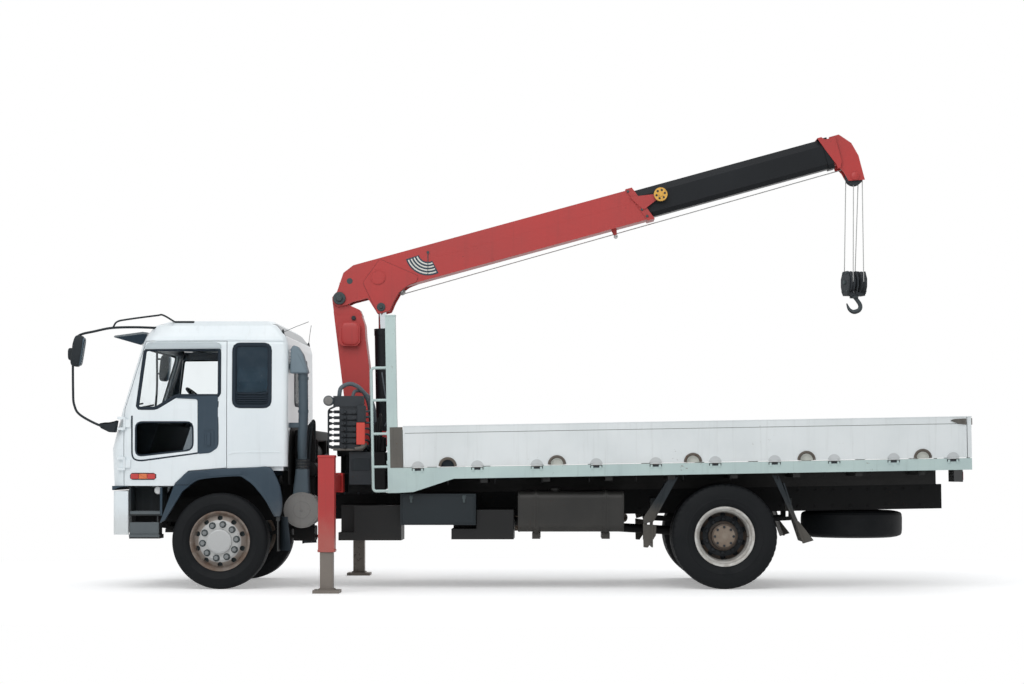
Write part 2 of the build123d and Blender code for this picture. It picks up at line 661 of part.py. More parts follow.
MIRROR_ARMS = {
    -1: ((-1150, 1615), (-1365, 1730), (-1440, 1860), (-1440, 2400), (-1370, 2530), (-1060, 2596)),
    1: ((-1080, 1640), (-1090, 1760), (-1060, 1860), (-1044, 2400), (-1040, 2530), (-960, 2590)),
}
MIRROR_HEADS = {-1: (-1440, -1335, 2200, 2515), 1: (-1042, -960, 2150, 2450)}


def mirrors():
    solids = []
    for side in (-1, 1):
        y = side * (CAB_HALF + 40)
        path = [(-1035, side * (CAB_HALF - 110), 1615)] + [(x, y, z) for x, z in MIRROR_ARMS[side]]
        path = path + [(-640, side * (CAB_HALF - 130), 2606)]
        arm = pipe(path, 13, 24)
        x0, x1, z0, z1 = MIRROR_HEADS[side]
        near, far = y - side * 100, y + side * 30
        head = plate_x([(near, z0), (far, z0), (far, z1), (near, z1)], x0, x1, 30)
        shape = arm + head
        if side < 0:
            small = block(-FRONT_REACH, -1445, y - 50, y + 50, 2280, 2390)
            guard = [(-1040, y, 2600), (-1000, y, 2660), (-560, y, 2728),
                     (-460, side * (CAB_HALF - 190), 2660)]
            shape = joined([shape, small, rod((-1450, y, 2335), (-1438, y, 2335), 12), pipe(guard, 9, 40)])
        solids.append(shape)
    shape = Compound(children=[solid - cab_solid(-FIT) for solid in solids])
    return Compound(children=[max(piece.solids(), key=lambda s: s.volume) for piece in shape.children])


def seats():
    solids = []
    top = CAB_FLOOR_Z + CAB_FLOOR_T
    for side in (-1, 1):
        y0 = side * 330
        y1 = side * 880
        base = block(-20, 420, y0, y1, top, top + 330)
        cushion = raised([(-60, 330), (430, 310), (430, 430), (-60, 450)], top)
        cushion = plate_y(cushion, y0, y1, 30)
        back = plate_y(raised([(330, 400), (450, 400), (570, 1000), (480, 1010)], top), y0, y1, 30)
        rest = block(500, 560, side * 480, side * 730, top + 980, top + 1180)
        solids.append(joined([base, cushion, back, rest]))
    return Compound(children=solids)


def dashboard():
    top = CAB_FLOOR_Z + CAB_FLOOR_T
    body = plate_y(raised([(-1030, 40), (-760, 60), (-640, 420), (-700, 560), (-1030, 560)], top),
                   -DASH_HALF, DASH_HALF, 20)
    body = body & cab_solid(CAB_WALL)
    leg = block(-980, -900, -500, 500, top, top + 80)
    column = rod((-700, 600, top + 420), (-480, 600, top + 660), 32)
    tilted = Pos(-455, 600, top + 690) * Rot(0, 42, 0)
    wheel = tilted * Torus(215, 16)
    spokes = [tilted * Rot(0, 0, turn) * Box(430, 34, 16) for turn in (20, 160)]
    column = column + rod((-700, 600, top + 420), (-455, 600, top + 690), 26)
    return joined([body, leg, column, wheel] + spokes)


def snorkel():
    duct = plate_y([(748, 1302), (866, 1302), (866, 2160), (748, 2160)], -985, -870)
    hood = plate_y([(690, 2150), (880, 2150), (880, 2400), (840, 2440), (700, 2440)], -1010, -850, 20)
    feet = [block(CAB_REAR, 760, -960, -900, z, z + 60) for z in (1500, 2180)]
    return joined([duct, hood] + feet)


# crane
def crane_base():
    half_w = BEAM_W / 2 + BOX_GAP + BOX_WALL
    half_h = BEAM_H / 2 + BOX_GAP + BOX_WALL
    tube = block(LEG_X - half_w, LEG_X + half_w, -BOX_HALF_L, BOX_HALF_L, BEAM_Z - half_h, BEAM_Z + half_h)
    hole = block(LEG_X - half_w + BOX_WALL, LEG_X + half_w - BOX_WALL, -BOX_HALF_L - 1, BOX_HALF_L + 1,
                 BEAM_Z - half_h + BOX_WALL, BEAM_Z + half_h - BOX_WALL)
    low = BEAM_Z - half_h
    rear = block(LEG_X + half_w - 1, 1530, -470, 470, low, BEAM_Z + half_h)
    feet = [block(LEG_X - half_w, 1530, s * 350, s * 430, frame_top(1530) + 0.2, low + 5) for s in (-1, 1)]
    pedestal = rod((SLEW_X, 0, BEAM_Z + half_h - 2), (SLEW_X, 0, TABLE_Z - 1), 205)
    flange = rod((SLEW_X, 0, TABLE_Z - 60), (SLEW_X, 0, TABLE_Z - 1), 245)
    pin = rod((SLEW_X, 0, TABLE_Z - 10), (SLEW_X, 0, TABLE_Z + 60), 120)
    ribs = [Pos(SLEW_X, 0, 0) * Rot(0, 0, a) * block(150, 240, -12, 12, BEAM_Z + half_h - 2, TABLE_Z - 50)
            for a in (60, 120, 240, 300)]
    base = joined([tube, rear, pedestal, flange, pin] + feet + ribs) - hole
    for side in (-1, 1):
        pad = block(LEG_X - 50, LEG_X + 50, side * (BOX_HALF_L - 90), side * (BOX_HALF_L - 10),
                    BEAM_Z - half_h + BOX_WALL - 1, BEAM_Z - BEAM_H / 2 - FIT)
        base = base + pad
    return base


def outrigger_beam(side):
    beam = block(LEG_X - BEAM_W / 2, LEG_X + BEAM_W / 2, side * BEAM_IN, side * (LEG_Y - HOUSING_W / 2 + 1),
                 BEAM_Z - BEAM_H / 2, BEAM_Z + BEAM_H / 2)
    w = HOUSING_W / 2
    y = side * LEG_Y
    housing = block(LEG_X - w, LEG_X + w, y - w, y + w, HOUSING_LOW, HOUSING_HIGH)
    t = LEG_W / 2 + 5
    cavity = block(LEG_X - t, LEG_X + t, y - t, y + t, HOUSING_LOW + 50, HOUSING_HIGH - 20)
    g = LEG_W / 2 + FIT
    guide = block(LEG_X - g, LEG_X + g, y - g, y + g, HOUSING_LOW - 5, HOUSING_LOW + 60)
    return joined([beam, housing]) - cavity - guide


def outrigger_jack(side):
    w = LEG_W / 2
    y = side * LEG_Y
    leg = block(LEG_X - w, LEG_X + w, y - w, y + w, FOOT_LIFT + FOOT_T - 2, HOUSING_HIGH - LEG_SHORT)
    top = FOOT_LIFT + FOOT_T
    foot = block(LEG_X - FOOT_L / 2, LEG_X + FOOT_L / 2, y - FOOT_W / 2, y + FOOT_W / 2, FOOT_LIFT, top)
    c = w + 14
    collar = block(LEG_X - c, LEG_X + c, y - c, y + c, top - 2, top + 14)
    return joined([leg, foot, collar])


def control_bank():
    tank = block(1276, 1506, -960, -640, 1041, 1366)
    arm = block(1300, 1480, -641, -470, 1060, 1140)
    stand = block(1290, 1400, -930, -860, 1365, 1400)
    valves = block(1180, 1400, -980, -850, 1395, 1880)
    top = block(1120, 1418, -990, -840, 1820, 1926)
    rows = [LEVER_LOW + LEVER_PITCH * i for i in range(LEVERS)]
    levers = [rod((1085, -930, z), (1200, -930, z), 8) for z in rows]
    knobs = [rod((1078, -930, z), (1100, -930, z), 14) for z in rows]
    guard = pipe([(1180, -985, 1405), (1072, -985, 1405), (1072, -985, 1790), (1180, -985, 1840)], 9, 40)
    lamp = rod((1074, -1010, 1878), (1074, -930, 1878), 50) + block(1074, 1130, -970, -940, 1866, 1890)
    return joined([tank, arm, stand, valves, top, guard, lamp] + levers + knobs)


def crane_column():
    table = rod((SLEW_X, 0, TABLE_Z), (SLEW_X, 0, TABLE_Z + 16), TABLE_R)
    drum = rod((SLEW_X, 0, TABLE_Z), (SLEW_X, 0, COLUMN_FOOT_Z + 10), 160)
    socket = rod((SLEW_X, 0, TABLE_Z - 1), (SLEW_X, 0, TABLE_Z + 66), 120 + FIT)
    body = plate_y([(1186, COLUMN_FOOT_Z), (1404, COLUMN_FOOT_Z), (1400, 2257), (1362, 2560), (1354, 2690),
                    (1320, 2790), (1078, 2790), (1030, 2830)], -COLUMN_HALF, COLUMN_HALF)
    head = plate_y([(1036, 2780), (1330, 2780), (1300, 2850), (1190, 2900), (1170, 2990), (1110, 3040),
                    (1050, 3030), (1014, 2960)], -COLUMN_TOP_HALF, COLUMN_TOP_HALF, 10)
    cover = [plate_y([(1092, 2470), (1312, 2470), (1312, 2718), (1092, 2718)], s * (COLUMN_HALF - 2),
                     s * (COLUMN_HALF + WINCH_OUT), WINCH_ROUND) for s in (-1, 1)]
    ears = [plate_y([(1380, 1445), (1640, 1445), (1640, 1540), (1600, 1585), (1400, 1600)],
                    s * 96, s * EAR_HALF) for s in (-1, 1)]
    floor = plate_y([(1380, 1445), (1460, 1445), (1460, 1520), (1380, 1560)], -EAR_HALF, EAR_HALF)
    pin = pin_y(LIFT_FOOT_X, LIFT_FOOT_Z, LIFT_PIN_R, -EAR_HALF, EAR_HALF)
    boss = [pin_y(BOOM_PIN_X, BOOM_PIN_Z, 72, s * (COLUMN_TOP_HALF - 2), s * (COLUMN_TOP_HALF + 4))
            for s in (-1, 1)]
    shape = joined([table, drum, body, head, floor, pin] + cover + ears + boss) - socket
    return shape + pin_y(BOOM_PIN_X, BOOM_PIN_Z, BOOM_PIN_R, -BASE_HALF - 12, BASE_HALF + 12)


def lift_line():
    eye_x = BOOM_PIN_X + LIFT_EYE_U * cos(radians(BOOM_ANGLE)) - LIFT_EYE_V * sin(radians(BOOM_ANGLE))
    eye_z = BOOM_PIN_Z + LIFT_EYE_U * sin(radians(BOOM_ANGLE)) + LIFT_EYE_V * cos(radians(BOOM_ANGLE))
    reach = hypot(eye_x - LIFT_FOOT_X, eye_z - LIFT_FOOT_Z)
    lean = degrees(atan2(eye_x - LIFT_FOOT_X, eye_z - LIFT_FOOT_Z))
    return eye_x, eye_z, reach, Location((LIFT_FOOT_X, 0, LIFT_FOOT_Z), (0, lean, 0))


def lift_barrel():
    at = lift_line()[3]
    tube = rod((0, 0, 60), (0, 0, BARREL_L), BARREL_R)
    gland = rod((0, 0, BARREL_L - 70), (0, 0, BARREL_L), BARREL_R + 4)
    eye = pin_y(0, 0, 74, -70, 70) + block(-60, 60, -70, 70, 0, 80)
    bore = rod((0, 0, 90), (0, 0, BARREL_L - 60), BARREL_R - 14)
    bore = bore + rod((0, 0, 90), (0, 0, BARREL_L + 1), ROD_R + FIT)
    pin = pin_y(0, 0, LIFT_PIN_R + FIT, -200, 200)
    return at * (joined([tube, gland, eye]) - bore - pin)


def lift_rod():
    reach, at = lift_line()[2:4]
    shaft = rod((0, 0, 600), (0, 0, reach - 30), ROD_R)
    piston = rod((0, 0, 560), (0, 0, 625), BARREL_R - 16)
    eye = pin_y(0, reach, 58, -62, 62)
    return at * joined([shaft, piston, eye])


def boom_base():
    inner = BASE_HALF - BASE_WALL
    tube = plate_y([(290, BASE_LOW), (BASE_END_LOW, BASE_LOW), (BASE_END_TOP, BASE_HIGH), (290, BASE_HIGH)],
                   -BASE_HALF, BASE_HALF)
    collar = plate_y([(BASE_END_LOW - 70, BASE_LOW - 14), (BASE_END_LOW + 6, BASE_LOW - 14),
                      (BASE_END_TOP + 8, BASE_HIGH + 14), (BASE_END_TOP - 62, BASE_HIGH + 14)],
                     -BASE_HALF - 12, BASE_HALF + 12)
    root = plate_y([(-78, -20), (-40, -78), (60, -84), (126, -72), (284, -74), (341, -262), (470, -268),
                    (530, -190), (612, -108), (716, -62), (820, BASE_LOW), (820, BASE_HIGH),
                    (229, BASE_HIGH), (110, 246), (-7, 74), (-70, 30)], -BASE_HALF, BASE_HALF)
    bore = block(285, BASE_END_LOW + 400, -inner, inner, BASE_LOW + BASE_WALL, BASE_HIGH - BASE_WALL)
    shape = joined([tube, collar, root]) - bore
    cheek = inner - 14
    slot = plate_y([(-300, -500), (285, -500), (285, 240), (110, 190), (0, 100), (-300, 60)], -cheek, cheek)
    ears = block(285, 815, -cheek, cheek, -500, BASE_LOW)
    shape = shape - slot - ears
    shape = shape - pin_y(0, 0, BOOM_PIN_R + FIT, -300, 300)
    disc = [pin_y(445, 110, 80, s * (BASE_HALF - 1), s * (BASE_HALF + 14)) for s in (-1, 1)]
    pad = block(BASE_END_LOW - 200, BASE_END_LOW - 90, -60, 60, BASE_LOW + BASE_WALL - 1,
                BASE_LOW + BASE_WALL + MID_GAP - FIT)
    guide = plate_y([(2915, BASE_LOW + 2), (2975, BASE_LOW + 2), (2960, -112), (2930, -112)], -30, 30)
    reel_arm = plate_y([(BASE_END_TOP - 40, 214), (BASE_END_TOP - 10, 214), (3500, 170), (3500, 140),
                        (BASE_END_LOW - 60, 60), (BASE_END_LOW - 90, 60)], -BASE_HALF - 24, -BASE_HALF - 10)
    reel = pin_y(3500, 157, 66, -BASE_HALF - 60, -BASE_HALF - 12)
    return BOOM_AT * joined([shape, pad, guide, reel_arm, reel] + disc)


def boom_section(half, low, high, u0, u1):
    bottom = half * 0.7
    top = half * 0.62
    return plate_x([(-bottom, low), (bottom, low), (half, low + 46), (half, high - 70), (top, high),
                    (-top, high), (-half, high - 70), (-half, low + 46)], u0, u1)


def boom_middle():
    low = BASE_LOW + BASE_WALL + MID_GAP
    high = BASE_HIGH - BASE_WALL - MID_GAP
    tube = boom_section(MID_HALF, low, high, MID_TAIL, MID_END)
    bore = boom_section(MID_HALF - MID_WALL, low + MID_WALL, high - MID_WALL, MID_TAIL - 1, MID_END + 50)
    collar = boom_section(MID_HALF + 12, low - 12, high + 10, MID_END - 64, MID_END) - bore
    pad = block(MID_TAIL, MID_TAIL + 120, -50, 50, high - 1, BASE_HIGH - BASE_WALL - FIT)
    lift = block(MID_END - 160, MID_END - 40, -40, 40, low + MID_WALL - 1, low + MID_WALL + MID_GAP - FIT)
    return BOOM_AT * joined([tube - bore, collar, pad, lift])


def boom_tip():
    low = BASE_LOW + BASE_WALL + MID_GAP + MID_WALL + MID_GAP
    high = BASE_HIGH - BASE_WALL - MID_GAP - MID_WALL - MID_GAP
    tube = boom_section(TIP_HALF, low, high, TIP_TAIL, 5450)
    bore = boom_section(TIP_HALF - 7, low + 7, high - 7, TIP_TAIL - 1, 5440)
    plates = [plate_y([(5352, -20), (5352, HEAD_TOP), (5458, HEAD_TOP), (5561, 159), (5599, 13),
                       (5597, -247), (5431, -214), (5405, -110)], s * 78, s * 92) for s in (-1, 1)]
    bridge = plate_y([(5400, -15), (5400, HEAD_TOP - 4), (5455, HEAD_TOP - 4), (5552, 155), (5520, 60),
                      (5460, -15)], -80, 80)
    pad = block(TIP_TAIL, TIP_TAIL + 100, -36, 36, high - 1, high + MID_GAP - FIT)
    axle = pin_y(HEAD_U, HEAD_V, 30, -98, 98)
    plug = plate_y([(5350, low + 4), (5450, low + 4), (5450, high - 4), (5350, high - 4)], -80, 80)
    return BOOM_AT * joined([tube - bore, plug, bridge, pad, axle] + plates)


def head_point():
    c = cos(radians(BOOM_ANGLE))
    s = sin(radians(BOOM_ANGLE))
    return BOOM_PIN_X + HEAD_U * c - HEAD_V * s, BOOM_PIN_Z + HEAD_U * s + HEAD_V * c


SHEAVE_Y = (-38.0, 38.0)
SHEAVE_GROOVE = 16.0


def sheave(radius, bore, half):
    root = radius - SHEAVE_GROOVE
    return [(bore, -half), (radius, -half), (radius, -half * 0.7), (root, -half * 0.3), (root, half * 0.3),
            (radius, half * 0.7), (radius, half), (bore, half)]


def head_sheaves():
    x, z = head_point()
    wheels = [turned(sheave(HEAD_SHEAVE_R, 30 + FIT, 24), x, y, z) for y in SHEAVE_Y]
    hub = turned([(30 + FIT, -62), (50, -62), (50, 62), (30 + FIT, 62)], x, 0, z)
    return joined(wheels + [hub])


def hoist_falls():
    x, z = head_point()
    turn = radians(BLOCK_TURN)
    solids = []
    for y in (-1, 1):
        for fore in (-1, 1):
            top = (x + fore * (HEAD_SHEAVE_R - 9.7), y * SHEAVE_Y[1], z - 6)
            along = y * FALL_ALONG
            across = fore * (BLOCK_SHEAVE_R - SHEAVE_GROOVE + FALL_R + FIT)
            foot_x = x + along * cos(turn) + across * sin(turn)
            foot_y = along * sin(turn) - across * cos(turn)
            solids.append(rod((foot_x, foot_y, BLOCK_Z + 4), top, FALL_R))
    return Compound(children=solids)


def hook_block():
    x = head_point()[0]
    wheels = [turned(sheave(BLOCK_SHEAVE_R, 28, 22), 0, y, 0) for y in (-FALL_ALONG, FALL_ALONG)]
    axle = pin_y(0, 0, 30, -104, 104)
    cheeks = [plate_y([(-70, -120), (70, -120), (105, -40), (105, 40), (60, 118), (-60, 118), (-105, 40),
                       (-105, -40)], y - 7, y + 7) for y in (-96, 0, 96)]
    yoke = block(-55, 55, -103, 103, -136, -100)
    solid = joined(wheels + [axle, yoke] + cheeks) - rod((0, 0, -200), (0, 0, -60), 24 + FIT)
    return Pos(x, 0, BLOCK_Z) * Rot(0, 0, BLOCK_TURN - 90) * solid


def hook():
    x = head_point()[0]
    shank = rod((x, 0, BLOCK_Z - 168), (x, 0, BLOCK_Z - 96), HOOK_R)
    nut = rod((x, 0, BLOCK_Z - 160), (x, 0, BLOCK_Z - 136.6), 46)
    middle = Plane(origin=(x - 14, 0, HOOK_BOTTOM + HOOK_BEND + 26), x_dir=(1, 0, 0), z_dir=(0, -1, 0))
    path = Edge.make_circle(HOOK_BEND, middle, -215, 60)
    bend = sweep(Plane(path @ 0, z_dir=path % 0) * Circle(HOOK_R), path=path)
    ends = [Pos(*(path @ t)) * Sphere(HOOK_R) for t in (0, 1)]
    neck = rod((x, 0, BLOCK_Z - 150), path @ 1, HOOK_R)
    return joined([shank, nut, bend, neck] + ends)


# load bed
def hinge_rows():
    return [HINGE_FIRST + HINGE_PITCH * i for i in range(HINGES)]


def hinge_pins(centres, y):
    side = 1 if y > 0 else -1
    face = side * BED_HALF
    solids = []
    for x in centres:
        solids.append(rod((x - 52, y, 0), (x + 52, y, 0), HINGE_PIN_R))
        for s in (-1, 1):
            solids.append(rod((x + s * 31, y, 0), (x + s * 52, y, 0), HINGE_R))
            solids.append(block(x + s * 31, x + s * 52, face - side * 4, y, -44, 0))
    return solids


def hinge_leaves(centres, y):
    side = 1 if y > 0 else -1
    face = side * BED_HALF
    solids = []
    for x in centres:
        barrel = rod((x - 30, y, 0), (x + 30, y, 0), HINGE_R)
        pad = pin_y(x, PLAY, HINGE_PAD_R, face - side * 3, face + side * 8)
        pad = pad & block(x - 80, x + 80, -2000, 2000, PLAY, 80)
        tab = block(x - 30, x + 30, face, y, 0, 40)
        for s in (-1, 1):
            pad = pad - rod((x + s * 30.5, y, 0), (x + s * 70, y, 0), HINGE_R + 3)
        solids.append((barrel + tab + pad) - rod((x - 60, y, 0), (x + 60, y, 0), HINGE_PIN_R + FIT))
    return solids


def gate(side):
    y = side * (BED_HALF + HINGE_OUT)
    panel = block(GATE_FRONT, BED_L - GATE_T - 8, side * (BED_HALF - GATE_T), side * BED_HALF, PLAY, GATE_H)
    groove = block(GATE_FRONT - 1, BED_L, side * (BED_HALF - 3), side * (BED_HALF + 20), GATE_H - 74,
                   GATE_H - 68)
    panel = panel - groove
    for x in ROPE_HOLES:
        panel = panel - pin_y(x, PLAY, ROPE_HOLE_R, side * (BED_HALF - GATE_T - 5), side * (BED_HALF + 5))
    return BED_AT * joined([panel] + hinge_leaves(hinge_rows(), y))


def tail_spin():
    return Pos(BED_L - BED_HALF, 0, 0) * Rot(0, 0, 90)


def tail_rows():
    return [TAIL_HINGE_PITCH * (i - (TAIL_HINGES - 1) / 2) for i in range(TAIL_HINGES)]


def tailgate():
    panel = block(BED_L - GATE_T, BED_L, -BED_HALF, BED_HALF, PLAY, GATE_H)
    leaves = [tail_spin() * leaf for leaf in hinge_leaves(tail_rows(), -BED_HALF - HINGE_OUT)]
    return BED_AT * joined([panel] + leaves)


def bed_floor():
    deck = block(40, BED_L - GATE_T - 8, -BED_HALF + GATE_T + 2, BED_HALF - GATE_T - 2, -DECK_T, 0)
    sill_low = -(DECK_Z - frame_top(BED_X)) * cos(radians(RAKE))
    sills = [block(60, FRAME_REAR - BED_X - 60, s * (FRAME_HALF - 80), s * FRAME_HALF, sill_low + 0.3,
                   -DECK_T + 1) for s in (-1, 1)]
    bearers = [block(x - 35, x + 35, -BED_HALF + RAIL_T, BED_HALF - RAIL_T, -DECK_T - 100, -DECK_T + 1)
               for x in [330 + BEARER_PITCH * i for i in range(BEARERS)]]
    deck = deck - block(0, POST_W + 2, -BED_HALF, -BED_HALF + POST_D + 2, -400, 10)
    return BED_AT * joined([deck] + sills + bearers)


def bed_rails():
    solids = []
    for side in (-1, 1):
        y0 = side * (BED_HALF - RAIL_T)
        y1 = side * BED_HALF
        start = POST_W if side < 0 else 40
        rail = block(start, BED_L, y0, y1, -RAIL_H, 0)
        apron = plate_y([(start, POST_LOW), (250, POST_LOW + 6), (655, -RAIL_H), (655, -RAIL_H + 20),
                         (start, -RAIL_H + 20)], y0, y1)
        y = side * (BED_HALF + HINGE_OUT)
        solids.append(joined([rail, apron] + hinge_pins(hinge_rows(), y)))
    rear = block(BED_L - RAIL_T, BED_L, -BED_HALF + 1, BED_HALF - 1, -RAIL_H, 0)
    pins = [tail_spin() * pin for pin in hinge_pins(tail_rows(), -BED_HALF - HINGE_OUT)]
    return BED_AT * joined(solids + [rear] + pins)


def headboard():
    wall = block(0, 40, -BED_HALF, BED_HALF, -DECK_T, GATE_H - 8)
    post = block(0, POST_W, -BED_HALF, -BED_HALF + POST_D, POST_LOW, POST_TOP)
    corners = [block(40, GATE_FRONT - PLAY, s * (BED_HALF - RAIL_T), s * BED_HALF, 0, GATE_H - 8)
               for s in (-1, 1)]
    y = -BED_HALF + 24
    top = LADDER_RUNGS[-1]
    low = LADDER_RUNGS[0]
    rail = pipe([(2, y, top), (LADDER_OUT, y, top), (LADDER_OUT, y, low), (2, y, low)], LADDER_R, 32)
    rungs = [rod((LADDER_OUT, y, z), (2, y, z), LADDER_R - 1) for z in LADDER_RUNGS[1:-1]]
    return BED_AT * joined([wall, post] + corners + [rail] + rungs)


front, rear, roof, glass, leaves, door_glass = cab_panels()
PARTS = {
    "ladder_frame": ladder_frame(),
    "front_bumper": front_bumper(),
    "lamps": lamps(),
    "front_axle": front_axle(),
    "rear_axle": rear_axle(),
    "leaf_springs": leaf_springs(),
    "engine": engine(),
    "fuel_tank": fuel_tank(),
    "side_boxes": side_boxes(),
    "air_cleaner": air_cleaner(),
    "muffler": muffler(),
    "spare_wheel": spare_wheel(),
    "mudguards": mudguards(),
    "cab_steps": cab_steps(),
    "cab_shell": rear,
    "cab_front": front,
    "cab_roof": roof,
    "cab_glass": glass,
    "cab_flares": cab_flares(),
    "sun_visor": sun_visor(),
    "mirrors": mirrors(),
    "seats": seats(),
    "dashboard": dashboard(),
    "snorkel": snorkel(),
    "door_left": leaves[-1],
    "door_right": leaves[1],
    "door_glass_left": door_glass[-1],
    "door_glass_right": door_glass[1],
    "knuckle_left": knuckle(-1),
    "knuckle_right": knuckle(1),
    "rim_front_left": rim_front(-1),
    "rim_front_right": rim_front(1),
    "tyre_front_left": tyre_front(-1),
    "tyre_front_right": tyre_front(1),
    "rim_rear_left": rim_rear(-1),
    "rim_rear_right": rim_rear(1),
    "tyre_rear_left": tyre_rear(-1),
    "tyre_rear_right": tyre_rear(1),
    "crane_base": crane_base(),
    "control_bank": control_bank(),
    "crane_column": crane_column(),
    "lift_barrel": lift_barrel(),
    "lift_rod": lift_rod(),
    "boom_base": boom_base(),
    "boom_middle": boom_middle(),
    "boom_tip": boom_tip(),
    "head_sheaves": head_sheaves(),
    "hoist_falls": hoist_falls(),
    "hook_block": hook_block(),
    "hook": hook(),
    "outrigger_beam_left": outrigger_beam(-1),
    "outrigger_beam_right": outrigger_beam(1),
    "outrigger_jack_left": outrigger_jack(-1),
    "outrigger_jack_right": outrigger_jack(1),
    "gate_left": gate(-1),
    "gate_right": gate(1),
    "tailgate": tailgate(),
    "bed_floor": bed_floor(),
    "bed_rails": bed_rails(),
    "headboard": headboard(),
}
for node, shape in PARTS.items():
    export_step(Pos(ROW_SHIFT, 0, 0) * shape, f"parts/{node}.step")
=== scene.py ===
import bpy
import bmesh
import numpy as np
from math import cos, sin, radians, pi
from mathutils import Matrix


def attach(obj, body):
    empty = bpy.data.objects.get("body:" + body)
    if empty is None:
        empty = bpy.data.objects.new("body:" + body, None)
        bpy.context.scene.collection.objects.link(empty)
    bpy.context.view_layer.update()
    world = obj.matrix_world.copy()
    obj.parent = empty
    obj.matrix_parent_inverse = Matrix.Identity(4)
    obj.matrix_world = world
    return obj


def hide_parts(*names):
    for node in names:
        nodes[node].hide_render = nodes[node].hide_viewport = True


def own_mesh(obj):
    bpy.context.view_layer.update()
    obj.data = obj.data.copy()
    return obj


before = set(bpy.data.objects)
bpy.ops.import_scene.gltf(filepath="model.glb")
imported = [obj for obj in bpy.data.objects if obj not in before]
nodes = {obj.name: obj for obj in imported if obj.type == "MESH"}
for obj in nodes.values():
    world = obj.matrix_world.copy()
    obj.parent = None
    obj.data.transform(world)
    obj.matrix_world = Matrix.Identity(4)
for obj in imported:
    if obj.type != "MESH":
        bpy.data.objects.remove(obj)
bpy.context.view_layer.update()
print("frame loaded with", len(nodes), "nodes")

# shapes are drawn in millimetres, x rearward from the front axle; rowShift moves them to the model's frame
rowShift = -2993.55
boomPin = (1092.0, 2967.0, 15.3)  # x, z and rise of the boom in degrees
bedCorner = (1677.0, 1205.0, 1.0)


# shapes: every one is a row of closed loops with faces between them
def loft(loops, closed=False):
    # quads join each loop to the next; the two end loops are filled unless the row closes on itself
    loops = np.asarray(loops, float)
    rows, cols = loops.shape[:2]
    a, b = np.meshgrid(np.arange(rows if closed else rows - 1), np.arange(cols), indexing="ij")
    c = (a + 1) % rows
    d = (b + 1) % cols
    faces = np.stack([a * cols + b, a * cols + d, c * cols + d, c * cols + b], -1).reshape(-1, 4).tolist()
    if not closed:
        faces = faces + [list(range(cols))[::-1], list(range((rows - 1) * cols, rows * cols))]
    return loops.reshape(-1, 3), faces


def joinShapes(shapes):
    # several shapes as one: their points in a row, the faces' numbers moved on to match
    verts, faces, base = [], [], 0
    for points, polygons in shapes:
        verts.append(points)
        faces.extend([[i + base for i in polygon] for polygon in polygons])
        base += len(points)
    return np.concatenate(verts), faces


def scatter(shape, places):
    # the same small shape set down at each place
    points, polygons = shape
    return joinShapes([(points + np.asarray(place, float), polygons) for place in places])


def turnedBy(shape, place):
    # a shape drawn along the boom or the bed, turned up about y and moved to its corner
    x, z, angle = place
    c, s = cos(radians(angle)), sin(radians(angle))
    points, polygons = shape
    return np.stack([x + points[:, 0] * c - points[:, 2] * s, points[:, 1],
                     z + points[:, 0] * s + points[:, 2] * c], -1), polygons


def inward(outline, distance):
    # each corner moves in along the mean of its two edges' normals
    edge = np.roll(outline, -1, 0) - outline
    normal = np.stack([-edge[:, 1], edge[:, 0]], -1) / np.maximum(np.linalg.norm(edge, axis=1, keepdims=True), 1e-9)
    before = np.roll(normal, 1, 0)
    both = 1 + (normal * before).sum(1, keepdims=True)
    return outline + (normal + before) / np.maximum(both, 0.25) * distance


axisOrder = {"x": (2, 0, 1), "y": (0, 2, 1), "z": (0, 1, 2)}


def laid(outline, axis, level):
    # flat points set at one level of an axis
    return np.column_stack([outline, np.full(len(outline), level)])[:, axisOrder[axis]]


def slab(outline, axis, low, high, bevel=0.0):
    # an outline carried along one axis, drawn in by the bevel at both ends
    outline = np.asarray(outline, float)
    after = np.roll(outline, -1, 0)
    if (outline[:, 0] * after[:, 1] - after[:, 0] * outline[:, 1]).sum() < 0:
        outline = outline[::-1]  # the area came out negative, so it ran the other way round
    low, high = min(low, high), max(low, high)
    levels = [(outline, low), (outline, high)]
    if bevel:
        small = inward(outline, bevel)
        levels = [(small, low), (outline, low + bevel), (outline, high - bevel), (small, high)]
    return loft([laid(flat, axis, at) for flat, at in levels])


def plate(outline, side, near, far, bevel=0.0):
    # a slab on one side of the truck, between two distances from its middle
    return slab(outline, "y", side * near, side * far, bevel)


def circle(a, b, radius, count=24, start=0.0):
    # centre plus radius times the cosine and sine of evenly spaced angles
    t = np.linspace(0, 2 * pi, count, endpoint=False) + start
    return np.stack([a + radius * np.cos(t), b + radius * np.sin(t)], -1)


def rounded(points, radius, count=5):
    # each corner becomes a short curve between points set back along its two edges
    points = np.asarray(points, float)
    before = np.roll(points, 1, 0) - points
    after = np.roll(points, -1, 0) - points
    lenBefore = np.linalg.norm(before, axis=1, keepdims=True)
    lenAfter = np.linalg.norm(after, axis=1, keepdims=True)
    set0 = points + before / lenBefore * np.minimum(radius, 0.48 * lenBefore)
    set1 = points + after / lenAfter * np.minimum(radius, 0.48 * lenAfter)
    t = np.linspace(0, 1, count)[None, :, None]
    curve = set0[:, None] * (1 - t) ** 2 + points[:, None] * 2 * t * (1 - t) + set1[:, None] * t ** 2
    return curve.reshape(-1, points.shape[1])


def box2(a0, a1, b0, b1, radius=0.0, count=5):
    # the outline of an oblong, its corners rounded if a radius is given
    corners = [(a0, b0), (a1, b0), (a1, b1), (a0, b1)]
    return rounded(corners, radius, count) if radius else np.array(corners, float)


